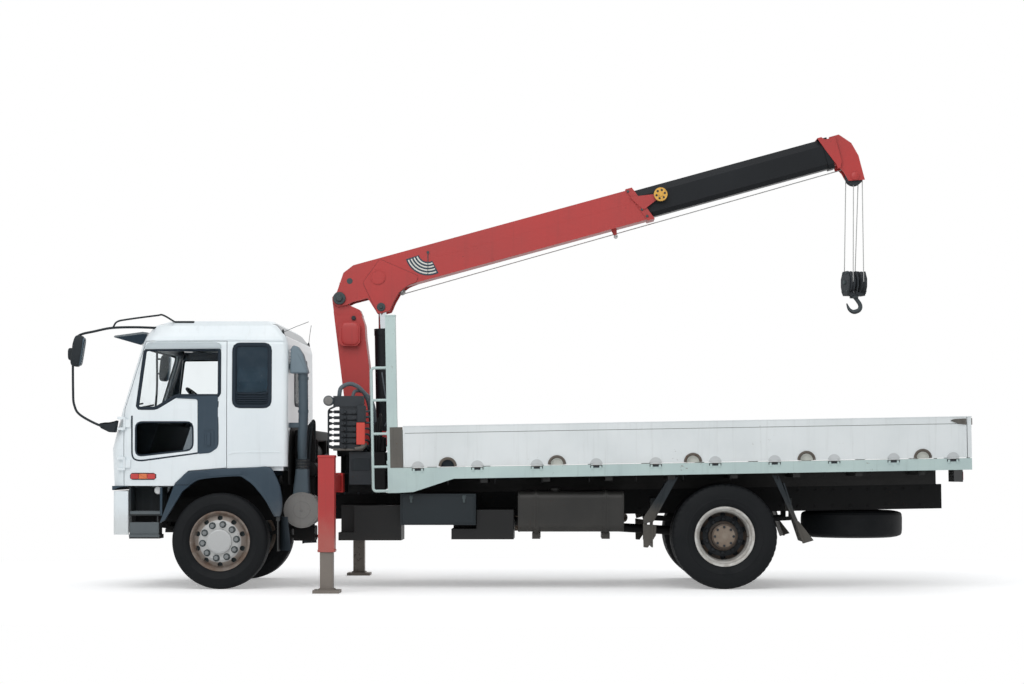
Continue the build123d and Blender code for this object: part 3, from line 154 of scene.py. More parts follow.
def smoothPath(points, perSpan=8):
    # a curve through the points: cubic pieces whose slopes come from the neighbours
    p = np.asarray(points, float)
    q = np.concatenate([[2 * p[0] - p[1]], p, [2 * p[-1] - p[-2]]])
    t = np.linspace(0, 1, perSpan, endpoint=False)[None, :, None]
    a, b, c, d = q[:-3, None], q[1:-2, None], q[2:-1, None], q[3:, None]
    curve = 0.5 * (2 * b + (c - a) * t + (2 * a - 5 * b + 4 * c - d) * t ** 2 + (3 * b - a - 3 * c + d) * t ** 3)
    return np.concatenate([curve.reshape(-1, p.shape[1]), p[-1:]])


def alongPath(path, closed=False):
    # the path's direction at each point, and two directions across it
    path = np.asarray(path, float)
    if closed:
        along = np.roll(path, -1, 0) - np.roll(path, 1, 0)
    else:
        along = np.gradient(path, axis=0)
    along = along / np.linalg.norm(along, axis=1, keepdims=True)
    axis = np.eye(3)[np.argmin(np.abs(along).max(0))]
    side = np.cross(along, axis)
    side = side / np.linalg.norm(side, axis=1, keepdims=True)
    return path, side, np.cross(side, along)


def tube(path, radius, sides=10, closed=False):
    # a circle carried along a path
    path, side, other = alongPath(path, closed)
    t = np.linspace(0, 2 * pi, sides, endpoint=False)[None, :, None]
    size = np.broadcast_to(np.asarray(radius, float), (len(path),))[:, None, None]
    return loft(path[:, None] + size * (np.cos(t) * side[:, None] + np.sin(t) * other[:, None]), closed)


def rope(start, end, radius, lay=70.0, step=5.0):
    # six strands: the radius swells six times round, and the swellings turn along the rope
    start, end = np.asarray(start, float), np.asarray(end, float)
    length = np.linalg.norm(end - start)
    s = np.linspace(0, 1, int(length / step) + 2)
    path, side, other = alongPath(start + (end - start) * s[:, None])
    t = np.linspace(0, 2 * pi, 18, endpoint=False)[None, :]
    size = radius * (0.88 + 0.12 * np.cos(6 * (t - 2 * pi * s[:, None] * length / lay)))
    return loft(path[:, None] + size[..., None] * (np.cos(t)[..., None] * side[:, None]
                                                   + np.sin(t)[..., None] * other[:, None]))


def band(path, facing, halfWidth, height, closed=True):
    # a flat-topped strip that follows a path and stands off the surface it faces away from
    path = np.asarray(path, float)
    along = np.roll(path, -1, 0) - np.roll(path, 1, 0) if closed else np.gradient(path, axis=0)
    facing = np.asarray(facing, float)
    side = np.cross(along, facing)
    side = side / np.linalg.norm(side, axis=1, keepdims=True)
    shape = np.array([(-1, -0.4), (-1, 0.45), (-0.65, 1), (0.65, 1), (1, 0.45), (1, -0.4)])
    loops = path[:, None] + side[:, None] * shape[None, :, :1] * halfWidth + facing * shape[None, :, 1:] * height
    return loft(loops, closed)


def spun(profile, centre, axis="y", steps=48):
    # a closed outline of radius and distance along the axis, turned round the axis
    profile = np.asarray(profile, float)
    t = np.linspace(0, 2 * pi, steps, endpoint=False)[:, None]
    r, w = profile[None, :, 0], np.broadcast_to(profile[None, :, 1], (steps, len(profile)))
    a, b = r * np.cos(t), r * np.sin(t)
    parts = {"y": (a, w, b), "z": (a, b, w), "x": (w, a, b)}[axis]
    return loft(np.stack(parts, -1) + np.asarray(centre, float), True)


def turned(profile, side, centre, steps):
    # a spun outline whose distances run to one side of the truck
    return spun([(radius, side * along) for radius, along in profile], centre, "y", steps)


def hose(points, radius, sides=8):
    # a tube along the smooth curve through a few points
    return tube(smoothPath(points), radius, sides)


def hexHead(axis, side, across, height):
    # a six-sided nut with a rounded crown, its foot at the origin
    levels = [(1, 0), (1, 0.75), (0.8, 1)]
    t = np.linspace(0, 2 * pi, 6, endpoint=False)
    flat = np.stack([np.cos(t), np.sin(t)], -1) * across / 1.732
    return loft([laid(flat * k, axis, side * height * h) for k, h in levels])


def boltsAt(places, axis, side, across, height):
    # one nut at each place
    return scatter(hexHead(axis, side, across, height), places)


def addPiece(name, shapes, finish, body="chassis", smooth=38, replaced=()):
    # shapes in millimetres become one mesh at the origin, faces turned outwards, riding on its body
    points, polygons = joinShapes(shapes) if isinstance(shapes, list) else shapes
    points = (points + np.array([rowShift, 0, 0])) * 0.001
    mesh = bpy.data.meshes.new(name)
    mesh.from_pydata(points.tolist(), [], polygons)
    work = bmesh.new()
    work.from_mesh(mesh)
    bmesh.ops.remove_doubles(work, verts=work.verts, dist=1e-6)
    bmesh.ops.recalc_face_normals(work, faces=work.faces)
    work.to_mesh(mesh)
    work.free()
    mesh.polygons.foreach_set("use_smooth", np.ones(len(mesh.polygons), bool))
    mesh.set_sharp_from_angle(angle=radians(smooth))
    piece = bpy.data.objects.new(name, mesh)
    bpy.context.scene.collection.objects.link(piece)
    mesh.materials.append(finish)
    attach(piece, body)
    if replaced:
        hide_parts(*replaced)
    return piece


# finishes
class Link:
    # a shader socket that takes part in sums: each operator adds one Math node
    def __init__(self, finish, socket):
        self.finish = finish
        self.socket = socket

    def maths(self, kind, first, second=0.0):
        return self.finish.node("ShaderNodeMath", {"operation": kind}, {0: first, 1: second})

    def __add__(self, other):
        return self.maths("ADD", self, other)

    def __sub__(self, other):
        return self.maths("SUBTRACT", self, other)

    def __rsub__(self, other):
        return self.maths("SUBTRACT", other, self)

    def __mul__(self, other):
        return self.maths("MULTIPLY", self, other)

    def __truediv__(self, other):
        return self.maths("DIVIDE", self, other)

    def __rtruediv__(self, other):
        return self.maths("DIVIDE", other, self)

    def __pow__(self, other):
        return self.maths("POWER", self, other)

    def __gt__(self, other):
        return self.maths("GREATER_THAN", self, other)

    def __lt__(self, other):
        return self.maths("LESS_THAN", self, other)

    __radd__ = __add__
    __rmul__ = __mul__


class Nodes:
    # one node tree and the helpers that feed it
    def __init__(self, tree):
        self.tree = tree

    def node(self, kind, settings, sockets, output=0):
        made = self.tree.nodes.new(kind)
        for key, value in settings.items():
            setattr(made, key, value)
        for key, value in sockets.items():
            self.feed(made.inputs[key], value)
        return Link(self, made.outputs[output])

    def feed(self, socket, value):
        if isinstance(value, Link):
            self.tree.links.new(value.socket, socket)
        else:
            socket.default_value = value

    def seen(self):
        # 1 on what the camera sees, straight on, in a shine or through glass
        kinds = ("Is Camera Ray", "Is Glossy Ray", "Is Transmission Ray")
        straight, shiny, through = [self.node("ShaderNodeLightPath", {}, {}, kind) for kind in kinds]
        return straight.maths("MAXIMUM", straight.maths("MAXIMUM", straight, shiny), through)

    def show(self, amount, first, second, output):
        both = self.node("ShaderNodeMixShader", {}, {0: amount, 1: first, 2: second})
        self.feed(self.tree.nodes[output].inputs["Surface"], both)


class Finish(Nodes):
    # one material, its shader and the patterns that vary it
    def __init__(self, name):
        self.material = bpy.data.materials.new(name)
        self.material.use_nodes = True
        super().__init__(self.material.node_tree)
        self.shader = self.tree.nodes["Principled BSDF"]
        self.place = self.node("ShaderNodeTexCoord", {}, {}, "Object")

    def set(self, **sockets):
        for key, value in sockets.items():
            self.feed(self.shader.inputs[key.replace("_", " ")], value)

    def noise(self, scale, detail=3.0, rough=0.55, stretch=None):
        at = self.place
        if stretch:
            at = self.node("ShaderNodeMapping", {}, {"Vector": at, "Scale": stretch})
        return self.node("ShaderNodeTexNoise", {},
                         {"Vector": at, "Scale": scale, "Detail": detail, "Roughness": rough})

    def waves(self, direction, scale, distortion=0.0):
        return self.node("ShaderNodeTexWave", {"bands_direction": direction},
                         {"Vector": self.place, "Scale": scale, "Distortion": distortion})

    def axis(self, name):
        return self.node("ShaderNodeSeparateXYZ", {}, {0: self.place}, name)

    def ease(self, value, low, high):
        return self.node("ShaderNodeMapRange", {"interpolation_type": "SMOOTHSTEP"},
                         {"Value": value, "From Min": low, "From Max": high})

    def mix(self, amount, first, second):
        made = self.tree.nodes.new("ShaderNodeMix")
        made.data_type = "RGBA"
        for index, value in ((0, amount), (6, first), (7, second)):
            self.feed(made.inputs[index], value)
        return Link(self, made.outputs[2])

    def bump(self, height, strength, distance):
        return self.node("ShaderNodeBump", {}, {"Height": height, "Strength": strength, "Distance": distance})


def tint(red, green, blue):
    # a colour written as it looks, 0 to 255, turned into light
    v = np.array([red, green, blue], float) / 255
    v = np.where(v <= 0.04045, v / 12.92, ((v + 0.055) / 1.055) ** 2.4)
    return (*v.tolist(), 1.0)


def wornPaint(name, look):
    # paint that fades in patches, runs in streaks, carries dust low down and chips to rust in specks
    f = Finish(name)
    z = f.axis("Z")
    fade = f.ease(f.noise(1.7, 4.0), 0.3, 0.75) * 0.8
    streak = f.ease(f.noise(1.0, 4.0, 0.6, (26.0, 26.0, 1.3)), 0.52, 0.82)
    grit = f.noise(70.0, 4.0, 0.65)
    dustHeight = 1 - f.ease(z, look["dustLow"], look["dustHigh"])
    dust = dustHeight * 0.65 + f.noise(3.0, 5.0, 0.6) * 0.55 + grit * 0.15
    dust = f.ease(dust, 0.62, 1.05) * look["dustAmount"]
    chipFrom = 0.93 - look["rustAmount"] * 0.25
    chip = f.noise(look.get("chipScale", 38.0), 5.0, 0.7) + f.noise(2.2, 2.0) * 0.35
    chip = f.ease(chip, chipFrom, chipFrom + 0.07)
    colour = f.mix(fade, tint(*look["base"]), tint(*look["faded"]))
    if "other" in look:
        other = look["other"]
        colour = f.mix(look["zone"](f), colour, f.mix(fade, tint(*other["base"]), tint(*other["faded"])))
    # a painted shadow: the lower half of each hinge pad on the gate is painted dark
    if "padShadow" in look:
        colour = f.mix(hingePads(f, -0.004), colour, tint(*look["padShadow"]))
    weights = {"grime": streak * look["streak"], "dust": dust, "rust": chip * look.get("chipWeight", 0.85)}
    for key, amount in weights.items():
        colour = f.mix(amount, colour, tint(*look[key]))
    f.set(Base_Color=colour, Roughness=look["rough"] + grit * 0.12 + dust * 0.3 + chip * 0.25)
    f.set(Metallic=look.get("metal", 0.0), Coat_Weight=look.get("coat", 0.0), Coat_Roughness=0.18)
    f.set(Specular_IOR_Level=look.get("shine", 0.5))
    f.set(Normal=f.bump(grit * 0.4 - chip * 0.6, 0.25, 0.0015))
    return f.material


def paint(name, look, base, faded, **own):
    # a worn paint with its own two colours, and whatever else differs from the look it starts from
    return wornPaint(name, dict(look, base=base, faded=faded, **own))


def zone(*limits):
    # a mask that is 1 between every pair of limits, given as axis, low and high in metres; YY is y squared
    def mask(f):
        inside = 1.0
        for name, low, high in limits:
            at = f.axis(name[0]) if len(name) == 1 else f.axis(name[0]) * f.axis(name[0])
            inside = (at > low) * (at < high) * inside
        return inside
    return mask


def insideCab(f):
    # 1 within the cab's skin: side and front lean in with height, each lean from its own level,
    # and meet in a rounded corner
    x, y, z = f.axis("X"), f.axis("Y"), f.axis("Z")
    over = [z.maths("MAXIMUM", z - level, 0.0) for level in (1.4, 1.79, 2.44, 2.515)]
    half = 0.95 - over[1] * 0.043 - over[2] * 0.145 - over[3] * 0.25
    front = over[0] * 0.256 + over[1] * 0.051 + over[2] * 0.09 + over[3] * 0.28 - 3.9286
    ahead = x.maths("MAXIMUM", front - x, 0.0)
    beside = y.maths("MAXIMUM", y.maths("ABSOLUTE", y) - half, 0.0)
    return (ahead * ahead + beside * beside < 0.0144) * (x < -2.34) * (z < 2.645) * (z > 1.23)


def hingePads(f, top=1.0):
    # 1 on the round pads at the gate hinges, below a height: near a pad's centre, on what stands off the face; a height
    # just under the centre marks the pads' lower halves, where a shadow is painted
    pitch, slope = 0.5885, 0.01745
    x, y, z = f.axis("X") + 1.31655, f.axis("Y"), f.axis("Z") - 1.205
    turn = (x + z * slope - 0.3) / pitch + 0.5
    gap = (turn.maths("FRACT", turn) - 0.5) * pitch
    up = z - x * slope
    return (gap * gap + up * up < 0.00397) * (y * y > 1.3712) * (up < top)


dirt = dict(dust=(150, 140, 126), rust=(96, 62, 44), grime=(120, 116, 108))
craneLook = dict(dirt, base=(178, 49, 47), faded=(165, 53, 51), dustLow=0.3, dustHigh=1.3, dustAmount=0.3,
                 rustAmount=0.25, streak=0.22, rough=0.42, grime=(112, 44, 42), rust=(74, 40, 34), coat=0.1)
# the gate's dark colour for the hinge pads' lower halves is a painted shadow beneath each pad
gateLook = dict(dirt, base=(224, 229, 230), faded=(212, 218, 219), dustLow=1.1, dustHigh=1.5, dustAmount=0.16,
                rustAmount=0.18, streak=0.16, rough=0.45, chipScale=26.0, grime=(150, 150, 146),
                rust=(120, 108, 98), chipWeight=0.6, zone=hingePads, padShadow=(58, 55, 52),
                other=dict(base=(196, 200, 201), faded=(182, 187, 188)))
slateLook = dict(dirt, base=(44, 60, 73), faded=(54, 70, 82), dustLow=0.5, dustHigh=1.3, dustAmount=0.15,
                 rustAmount=0.0, streak=0.15, rough=0.5, grime=(76, 86, 94), chipWeight=0.2, shine=0.35)
plasticLook = dict(slateLook, base=(30, 36, 40), faded=(40, 46, 50), dustAmount=0.25, rough=0.55, shine=0.25)
frameLook = dict(dirt, base=(12, 13, 14), faded=(20, 21, 22), dustLow=0.2, dustHigh=0.9, dustAmount=0.25,
                 rustAmount=0.4, streak=0.12, rough=0.6, dust=(62, 58, 52), rust=(56, 42, 34),
                 grime=(36, 36, 36), shine=0.2)
hookLook = dict(frameLook, base=(112, 116, 118), faded=(128, 132, 133), rustAmount=0.5, metal=0.6, rough=0.4,
                dustAmount=0.0, shine=0.5)
blockLook = dict(frameLook, base=(48, 52, 56), faded=(64, 68, 72), dustAmount=0.0)
bankLook = dict(frameLook, base=(44, 48, 52), faded=(62, 66, 70), rustAmount=0.55, rough=0.45, dustAmount=0.2,
                dustHigh=1.9)
rustLook = dict(frameLook, base=(96, 92, 88), faded=(120, 112, 104), rustAmount=1.3, streak=0.5,
                rust=(98, 66, 46), dustAmount=0.2, dustHigh=1.7, metal=0.2)

cranePaint = wornPaint("crane_red_paint", craneLook)
gatePaint = wornPaint("gate_white_paint", gateLook)
slateTrim = wornPaint("slate_trim", slateLook)
blackPlastic = wornPaint("black_plastic", plasticLook)
framePaint = wornPaint("frame_black", frameLook)
hookSteel = wornPaint("hook_cast", hookLook)
blockPaint = wornPaint("block_dark", blockLook)
bankPaint = wornPaint("bank_dark", bankLook)
rustySteel = wornPaint("rusty_post", rustLook)
boxPaint = wornPaint("toolbox_slate", dict(
    frameLook, other=dict(base=(19, 28, 33), faded=(25, 34, 39)), rustAmount=0.15, rough=0.42, shine=0.3,
    zone=zone(("X", -1.2, -0.446), ("Z", 0.638, 0.96), ("YY", 0.36, 1.2))))
stepPlastic = wornPaint("step_plastic", dict(
    plasticLook, dustAmount=0.08, other=slateLook,
    zone=zone(("X", -3.585, -2.9), ("YY", 1.115, 1.4), ("Z", 0.65, 1.05))))
cabPaint = paint("cab_white_paint", dirt, (232, 239, 242), (222, 231, 235), dustLow=0.55, dustHigh=1.1,
                 dustAmount=0.25, rustAmount=0.0, streak=0.10, rough=0.3, coat=0.35, chipWeight=0.25,
                 zone=insideCab, other=dict(base=(54, 68, 78), faded=(66, 80, 90)))
railPaint = paint("rail_green_paint", dirt, (186, 205, 202), (172, 190, 190), dustLow=0.7, dustHigh=1.3,
                  dustAmount=0.2, rustAmount=0.3, streak=0.25, rough=0.48, grime=(122, 136, 134))
legPaint = paint("leg_red_paint", craneLook, (174, 42, 41), (160, 46, 44))
seamPaint = paint("seam_dark_red", craneLook, (134, 42, 42), (124, 46, 44))
plateRed = paint("plate_red", craneLook, (206, 66, 52), (214, 84, 66))
platePaint = paint("hinge_plate_grey", gateLook, (196, 202, 203), (180, 186, 187))
plateWhite = paint("plate_blank", gateLook, (222, 222, 214), (206, 206, 198))
snorkelFinish = paint("duct_grey", slateLook, (70, 84, 93), (84, 98, 106), dustAmount=0.1)
hoodFinish = paint("intake_hood_grey", slateLook, (102, 118, 128), (120, 135, 144), dustAmount=0.05)
boomPaint = paint("boom_black_paint", frameLook, (13, 17, 21), (21, 25, 30), dustAmount=0.0, rustAmount=0.1,
                  rough=0.38, coat=0.04)
tankFinish = paint("tank_dusty_grey", frameLook, (38, 38, 37), (49, 48, 46), dustLow=0.4, dustHigh=1.0,
                   dustAmount=0.3, dust=(84, 80, 74), rough=0.42, metal=0.3, shine=0.4)
cleanerFinish = paint("cleaner_grey", frameLook, (116, 116, 114), (130, 128, 124), dustAmount=0.3,
                      dust=(110, 104, 96), rough=0.5, dustHigh=1.1, shine=0.4)
legSteel = paint("leg_bare_steel", frameLook, (116, 110, 105), (132, 126, 119), rustAmount=0.5, rust=(88, 78, 71),
                 dust=(124, 115, 105), rough=0.42, metal=0.5, streak=0.4, grime=(84, 77, 71), shine=0.5)
stepSteel = paint("step_steel", frameLook, (74, 82, 86), (92, 99, 102), rustAmount=0.3, shine=0.4, dustAmount=0.2,
                  dust=(96, 92, 86), metal=0.3, rough=0.42)
hingeSteel = paint("hinge_steel", frameLook, (118, 122, 120), (138, 142, 140), rustAmount=0.6, streak=0.3,
                   rust=(92, 74, 60), dustAmount=0.1, metal=0.2)
mufflerFinish = paint("muffler_heat_stained", frameLook, (96, 88, 80), (116, 102, 90), rustAmount=1.0, metal=0.6)
hosePaint = paint("pressure_line_grey", frameLook, (84, 92, 98), (108, 116, 122), dustAmount=0.1, rustAmount=0.1,
                  rough=0.5)
pinSteel = paint("pin_grey", blockLook, (56, 66, 68), (72, 82, 84), rustAmount=0.2, shine=0.4)
basePaint = paint("crane_base_paint", bankLook, (22, 24, 26), (32, 34, 36), other=craneLook,
                  zone=zone(("X", -1.95, -1.777), ("Z", 0.95, 1.16), ("YY", 0.64, 1.3)))
brightSteel = paint("bright_steel", hookLook, (150, 152, 152), (170, 170, 168), rustAmount=0.25, metal=0.8,
                    rough=0.32)
forgedSteel = paint("forged_dark", hookLook, (46, 54, 58), (60, 68, 72), rustAmount=0.25, metal=0.2)
ringSteel = paint("rope_ring_brown", rustLook, (92, 86, 80), (108, 101, 94), rustAmount=0.5)
cornerSteel = paint("corner_post_grey", rustLook, (98, 96, 92), (114, 110, 104), rustAmount=0.4)


def speckled(name, pattern, first, second, rough, metal=0.0, limits=None, amount=1.0):
    # one colour showing through another where a noise is high, rougher there
    f = Finish(name)
    high = f.noise(*pattern)
    if limits:
        high = f.ease(high, *limits)
    f.set(Base_Color=f.mix(high * amount, tint(*first), tint(*second)), Roughness=rough[0] + high * rough[1],
          Metallic=metal)
    return f.material


rodChrome = speckled("rod_chrome", (9.0, 4.0, 0.6, (1.0, 1.0, 14.0)), (214, 220, 224), (176, 184, 188), (0.1, 0.12),
                     metal=1.0, amount=0.5)
wireRope = speckled("wire_rope", (120.0, 3.0), (132, 134, 134), (206, 207, 205), (0.38, 0.2), metal=0.3)
reelYellow = speckled("reel_yellow", (40.0, 5.0, 0.65), (222, 170, 70), (150, 110, 60), (0.45, 0.2),
                      limits=(0.5, 0.75), amount=0.6)


def rubberFinish(name, base, worn):
    # rubber with dusty patches and a fine grain
    f = Finish(name)
    grain = f.noise(160.0, 3.0)
    dusty = f.ease(f.noise(5.0, 5.0, 0.62) + grain * 0.2, 0.5, 0.95)
    f.set(Base_Color=f.mix(dusty * 0.6, base, worn), Roughness=0.62 + dusty * 0.25, Specular_IOR_Level=0.2)
    f.set(Normal=f.bump(grain, 0.2, 0.0008))
    return f.material


def wheelFinish(name, centre, look):
    # colour by distance from the axle: hub, dish and outer rim, with rust where water sits
    f = Finish(name)
    x = f.axis("X") - centre[0]
    z = f.axis("Z") - centre[1]
    radius = (x * x + z * z) ** 0.5
    patch = f.noise(9.0, 5.0, 0.65)
    speck = f.noise(75.0, 3.0, 0.6)
    colour = f.mix(f.ease(radius, look["hubR"], look["hubR"] + 0.008), look["hub"], look["dish"])
    colour = f.mix(f.ease(radius, look["rimR"], look["rimR"] + 0.012), colour, look["rim"])
    rust = f.ease(patch + f.ease(radius, look["rustR"], look["rustR"] + 0.05) * 0.3, 0.62, 0.95) * look["rustAmount"]
    colour = f.mix(rust, colour, look["rust"])
    colour = f.mix(f.ease(speck, 0.6, 0.8) * 0.35, colour, look["dust"])
    f.set(Base_Color=colour, Roughness=0.42 + rust * 0.3 + speck * 0.15, Metallic=0.25)
    f.set(Normal=f.bump(patch * 0.5 + speck * 0.5, 0.2, 0.001))
    return f.material


frontWheelLook = {"hub": tint(178, 180, 180), "hubR": 0.118, "dish": tint(178, 179, 178), "rimR": 0.205,
                  "rim": tint(132, 124, 117), "rustR": 0.22, "rustAmount": 0.75, "rust": tint(104, 82, 66),
                  "dust": tint(150, 142, 132)}
rearWheelLook = {"hub": tint(130, 119, 107), "hubR": 0.104, "dish": tint(62, 58, 55), "rimR": 0.232,
                 "rim": tint(206, 206, 202), "rustR": 0.0, "rustAmount": 0.45, "rust": tint(104, 84, 68),
                 "dust": tint(128, 116, 104)}
frontAxle = (rowShift * 0.001, 0.479)
rearAxle = (rowShift * 0.001 + 5.02, 0.525)
frontWheelPaint = wheelFinish("front_wheel_grey", frontAxle, frontWheelLook)
rearWheelPaint = wheelFinish("rear_wheel_pale", rearAxle, rearWheelLook)
tyreRubber = rubberFinish("tyre_rubber", tint(11, 14, 17), tint(25, 28, 30))
sealRubber = rubberFinish("window_rubber", tint(32, 42, 52), tint(46, 56, 64))
flapRubber = rubberFinish("flap_rubber", tint(34, 42, 48), tint(54, 61, 66))


def glassFinish(name, colour, clear, rough=0.02, lowColour=None, metal=0.0):
    # tinted pane with a film of dust; the panes low in the doors may be darker, and a mirror part metal
    f = Finish(name)
    film = f.ease(f.noise(4.0, 5.0, 0.6), 0.45, 0.85)
    if lowColour:
        colour = f.mix(f.axis("Z") < 1.72, colour, lowColour)
    f.set(Base_Color=f.mix(film * 0.08, colour, tint(150, 158, 162)), Roughness=rough + film * 0.05,
          Transmission_Weight=clear, IOR=1.02 if clear == 1.0 else 1.25, Metallic=metal)
    return f.material


clearGlass = glassFinish("cab_glass_clear", tint(244, 248, 249), 1.0)
doorGlass = glassFinish("door_glass", tint(246, 249, 250), 1.0, 0.02, tint(170, 176, 180))
darkGlass = glassFinish("cab_glass_dark", tint(40, 56, 68), 0.15, 0.06)
lensGlass = glassFinish("lamp_lens_clear", tint(226, 230, 232), 0.5)
visorTint = glassFinish("visor_smoke", tint(140, 148, 152), 0.35, 0.2)


def lampFinish(name, colour, deep, housing=None):
    # moulded lens with fine ribs; the bodies at the tail end may have their own colour
    f = Finish(name)
    ribs = f.waves("X", 40.0, 0.2)
    colour = f.mix(ribs * 0.6, colour, deep)
    if housing:
        colour = f.mix(f.axis("X") > 0, colour, housing)
    f.set(Base_Color=colour, Roughness=0.18 + ribs * 0.1, Coat_Weight=0.6)
    f.set(Normal=f.bump(ribs, 0.3, 0.001))
    return f.material


redLens = lampFinish("lens_red", tint(206, 46, 42), tint(150, 30, 30))
amberLens = lampFinish("lens_amber", tint(226, 120, 60), tint(190, 84, 44))
whiteLens = lampFinish("lens_white", tint(224, 226, 226), tint(186, 190, 192))
lampBodies = lampFinish("lamp_bodies", tint(224, 226, 226), tint(186, 190, 192), tint(18, 20, 22))


def deckFinish():
    # hardwood planks along the bed, each its own shade, with dark gaps and grey wear; dark steel under the deck
    f = Finish("deck_planks")
    x, y, z = f.axis("X"), f.axis("Y"), f.axis("Z")
    plank = y / 0.142 + 50.0
    number = plank.maths("FLOOR", plank)
    within = plank.maths("FRACT", plank)
    gap = (within < 0.035) + (within > 0.965)
    shade = f.node("ShaderNodeTexWhiteNoise", {"noise_dimensions": "1D"}, {"W": number}, "Value")
    grain = f.noise(6.0, 6.0, 0.65, (0.7, 14.0, 4.0))
    wear = f.ease(f.noise(2.0, 5.0, 0.6), 0.35, 0.75)
    wood = f.mix(shade * 0.6 + grain * 0.4, tint(112, 88, 66), tint(150, 124, 96))
    wood = f.mix(wear * 0.55, wood, tint(140, 132, 122))
    wood = f.mix(gap, wood, tint(30, 26, 22))
    above = z - (x + 1.31655) * 0.017455 > 1.148
    under = f.mix(f.noise(12.0, 4.0), tint(14, 14, 14), tint(25, 24, 23))
    f.set(Base_Color=f.mix(above, under, wood), Roughness=0.6 + grain * 0.25)
    f.set(Normal=f.bump((1 - gap) * 0.8 + grain * 0.3, 0.5, 0.003))
    return f.material


deckWood = deckFinish()


def clothFinish():
    # woven seat cloth: crossing threads with a little mottling
    f = Finish("seat_cloth")
    threads = f.waves("X", 160.0) * f.waves("Y", 160.0)
    mottle = f.noise(14.0, 4.0)
    f.set(Base_Color=f.mix(threads * 0.5 + mottle * 0.4, tint(58, 64, 72), tint(96, 102, 110)), Roughness=0.9,
          Sheen_Weight=0.3)
    f.set(Normal=f.bump(threads, 0.4, 0.001))
    return f.material


seatCloth = clothFinish()

nodeFinishes = {
    cabPaint: ["cab_shell", "cab_front", "cab_roof", "door_left", "door_right", "front_bumper"],
    slateTrim: ["cab_flares"], visorTint: ["sun_visor"], blackPlastic: ["mirrors", "dashboard", "mudguards"],
    stepPlastic: ["cab_steps"], basePaint: ["crane_base"], clearGlass: ["cab_glass"],
    doorGlass: ["door_glass_left", "door_glass_right"], snorkelFinish: ["snorkel"],
    framePaint: ["ladder_frame", "front_axle", "rear_axle", "leaf_springs", "engine", "knuckle_left", "knuckle_right"],
    tankFinish: ["fuel_tank"], boxPaint: ["side_boxes"], cleanerFinish: ["air_cleaner"], mufflerFinish: ["muffler"],
    tyreRubber: ["spare_wheel", "tyre_front_left", "tyre_front_right", "tyre_rear_left", "tyre_rear_right"],
    frontWheelPaint: ["rim_front_left", "rim_front_right"], rearWheelPaint: ["rim_rear_left", "rim_rear_right"],
    cranePaint: ["crane_column", "boom_base", "boom_tip"],
    legPaint: ["outrigger_beam_left", "outrigger_beam_right"],
    legSteel: ["outrigger_jack_left", "outrigger_jack_right"],
    boomPaint: ["boom_middle", "lift_barrel"], blockPaint: ["head_sheaves", "hook_block"],
    hookSteel: ["hook"], bankPaint: ["control_bank"], gatePaint: ["gate_left", "gate_right", "tailgate"],
    railPaint: ["bed_rails", "headboard"], deckWood: ["bed_floor"], lampBodies: ["lamps"], wireRope: ["hoist_falls"],
    seatCloth: ["seats"], rodChrome: ["lift_rod"],
}
for finish, names in nodeFinishes.items():
    for name in names:
        nodes[name].data.materials.clear()
        nodes[name].data.materials.append(finish)
print("finishes set on", sum(len(names) for names in nodeFinishes.values()), "nodes")

# tyres: a cross-section with grooves, turned round the axle; the grooves weave from side to side as it turns
sides = ((-1, "left", "l"), (1, "right", "r"))
frontWheel, rearWheel = (0, 962.5, 479), (5020, 825, 525)  # x, distance from the middle and height
tyreLook = {"flange": 298.9, "zigzag": 3.0, "weaves": 42, "grooveHalf": 5.0, "grooveDepth": 11.0, "lugs": 54,
            "lugDepth": 5.0, "front": (478.5, 138, (-66, -23, 23, 66), False),
            "rear": (524.5, 139.5, (-46, 0, 46), True), "pairHalf": 162, "crownDepth": 20, "plainEdge": 55,
            "lugEdge": 78, "lugReach": 32, "notchShare": 0.34,
            "wall": [(0, 38), (8, 27), (22, 20), (26, 16), (48, 7), (70, 3), (74, 0.5), (80, 0.5), (84, 2.5)],
            "shoulder": [(105, 0.3), (76, 3), (50, 9), (46, 9.5), (30, 14), (16, 22), (5, 34), (2, 50)]}


def tyreSection(radius, half, grooves):
    # radius and side distance round the section: one wall up, across the grooved crown, down the other wall
    right = [(tyreLook["flange"] + up, half - back) for up, back in tyreLook["wall"]]
    right += [(radius - down, half - back) for down, back in tyreLook["shoulder"]]
    g, d = tyreLook["grooveHalf"], tyreLook["grooveDepth"]
    crown = [point for w in sorted(grooves, reverse=True)
             for point in ((radius, w + g), (radius - d, w + g - 2), (radius - d, w - g + 2), (radius, w - g))]
    left = [(r, -w) for r, w in right[::-1]]
    return np.array(right + crown + left)


def tyre(x, y, z, radius, half, grooves, lugged):
    # radius and side shift are functions of the turn and the place on the section
    section = tyreSection(radius, half, grooves)
    steps = tyreLook["lugs"] * 6 if lugged else tyreLook["weaves"] * 4
    t = np.linspace(0, 2 * pi, steps, endpoint=False)[:, None]
    r, w = section[None, :, 0], section[None, :, 1]
    crown = r > radius - tyreLook["crownDepth"]
    weave = np.abs((t * tyreLook["weaves"] / (2 * pi)) % 1 - 0.5) * 4 - 1
    w = w + np.where(crown & (np.abs(w) < half - tyreLook["plainEdge"]), tyreLook["zigzag"] * weave, 0)
    if lugged:
        skew = np.sign(w) * 0.5
        notch = ((t * tyreLook["lugs"] / (2 * pi) + skew * 0.5) % 1) < tyreLook["notchShare"]
        edge = (np.abs(w) > half - tyreLook["lugEdge"]) & (r > radius - tyreLook["lugReach"])
        r = r - np.where(notch & edge, tyreLook["lugDepth"], 0)
    r = np.broadcast_to(r, w.shape)
    return loft(np.stack([x + r * np.cos(t), y + w, z + r * np.sin(t)], -1), True)


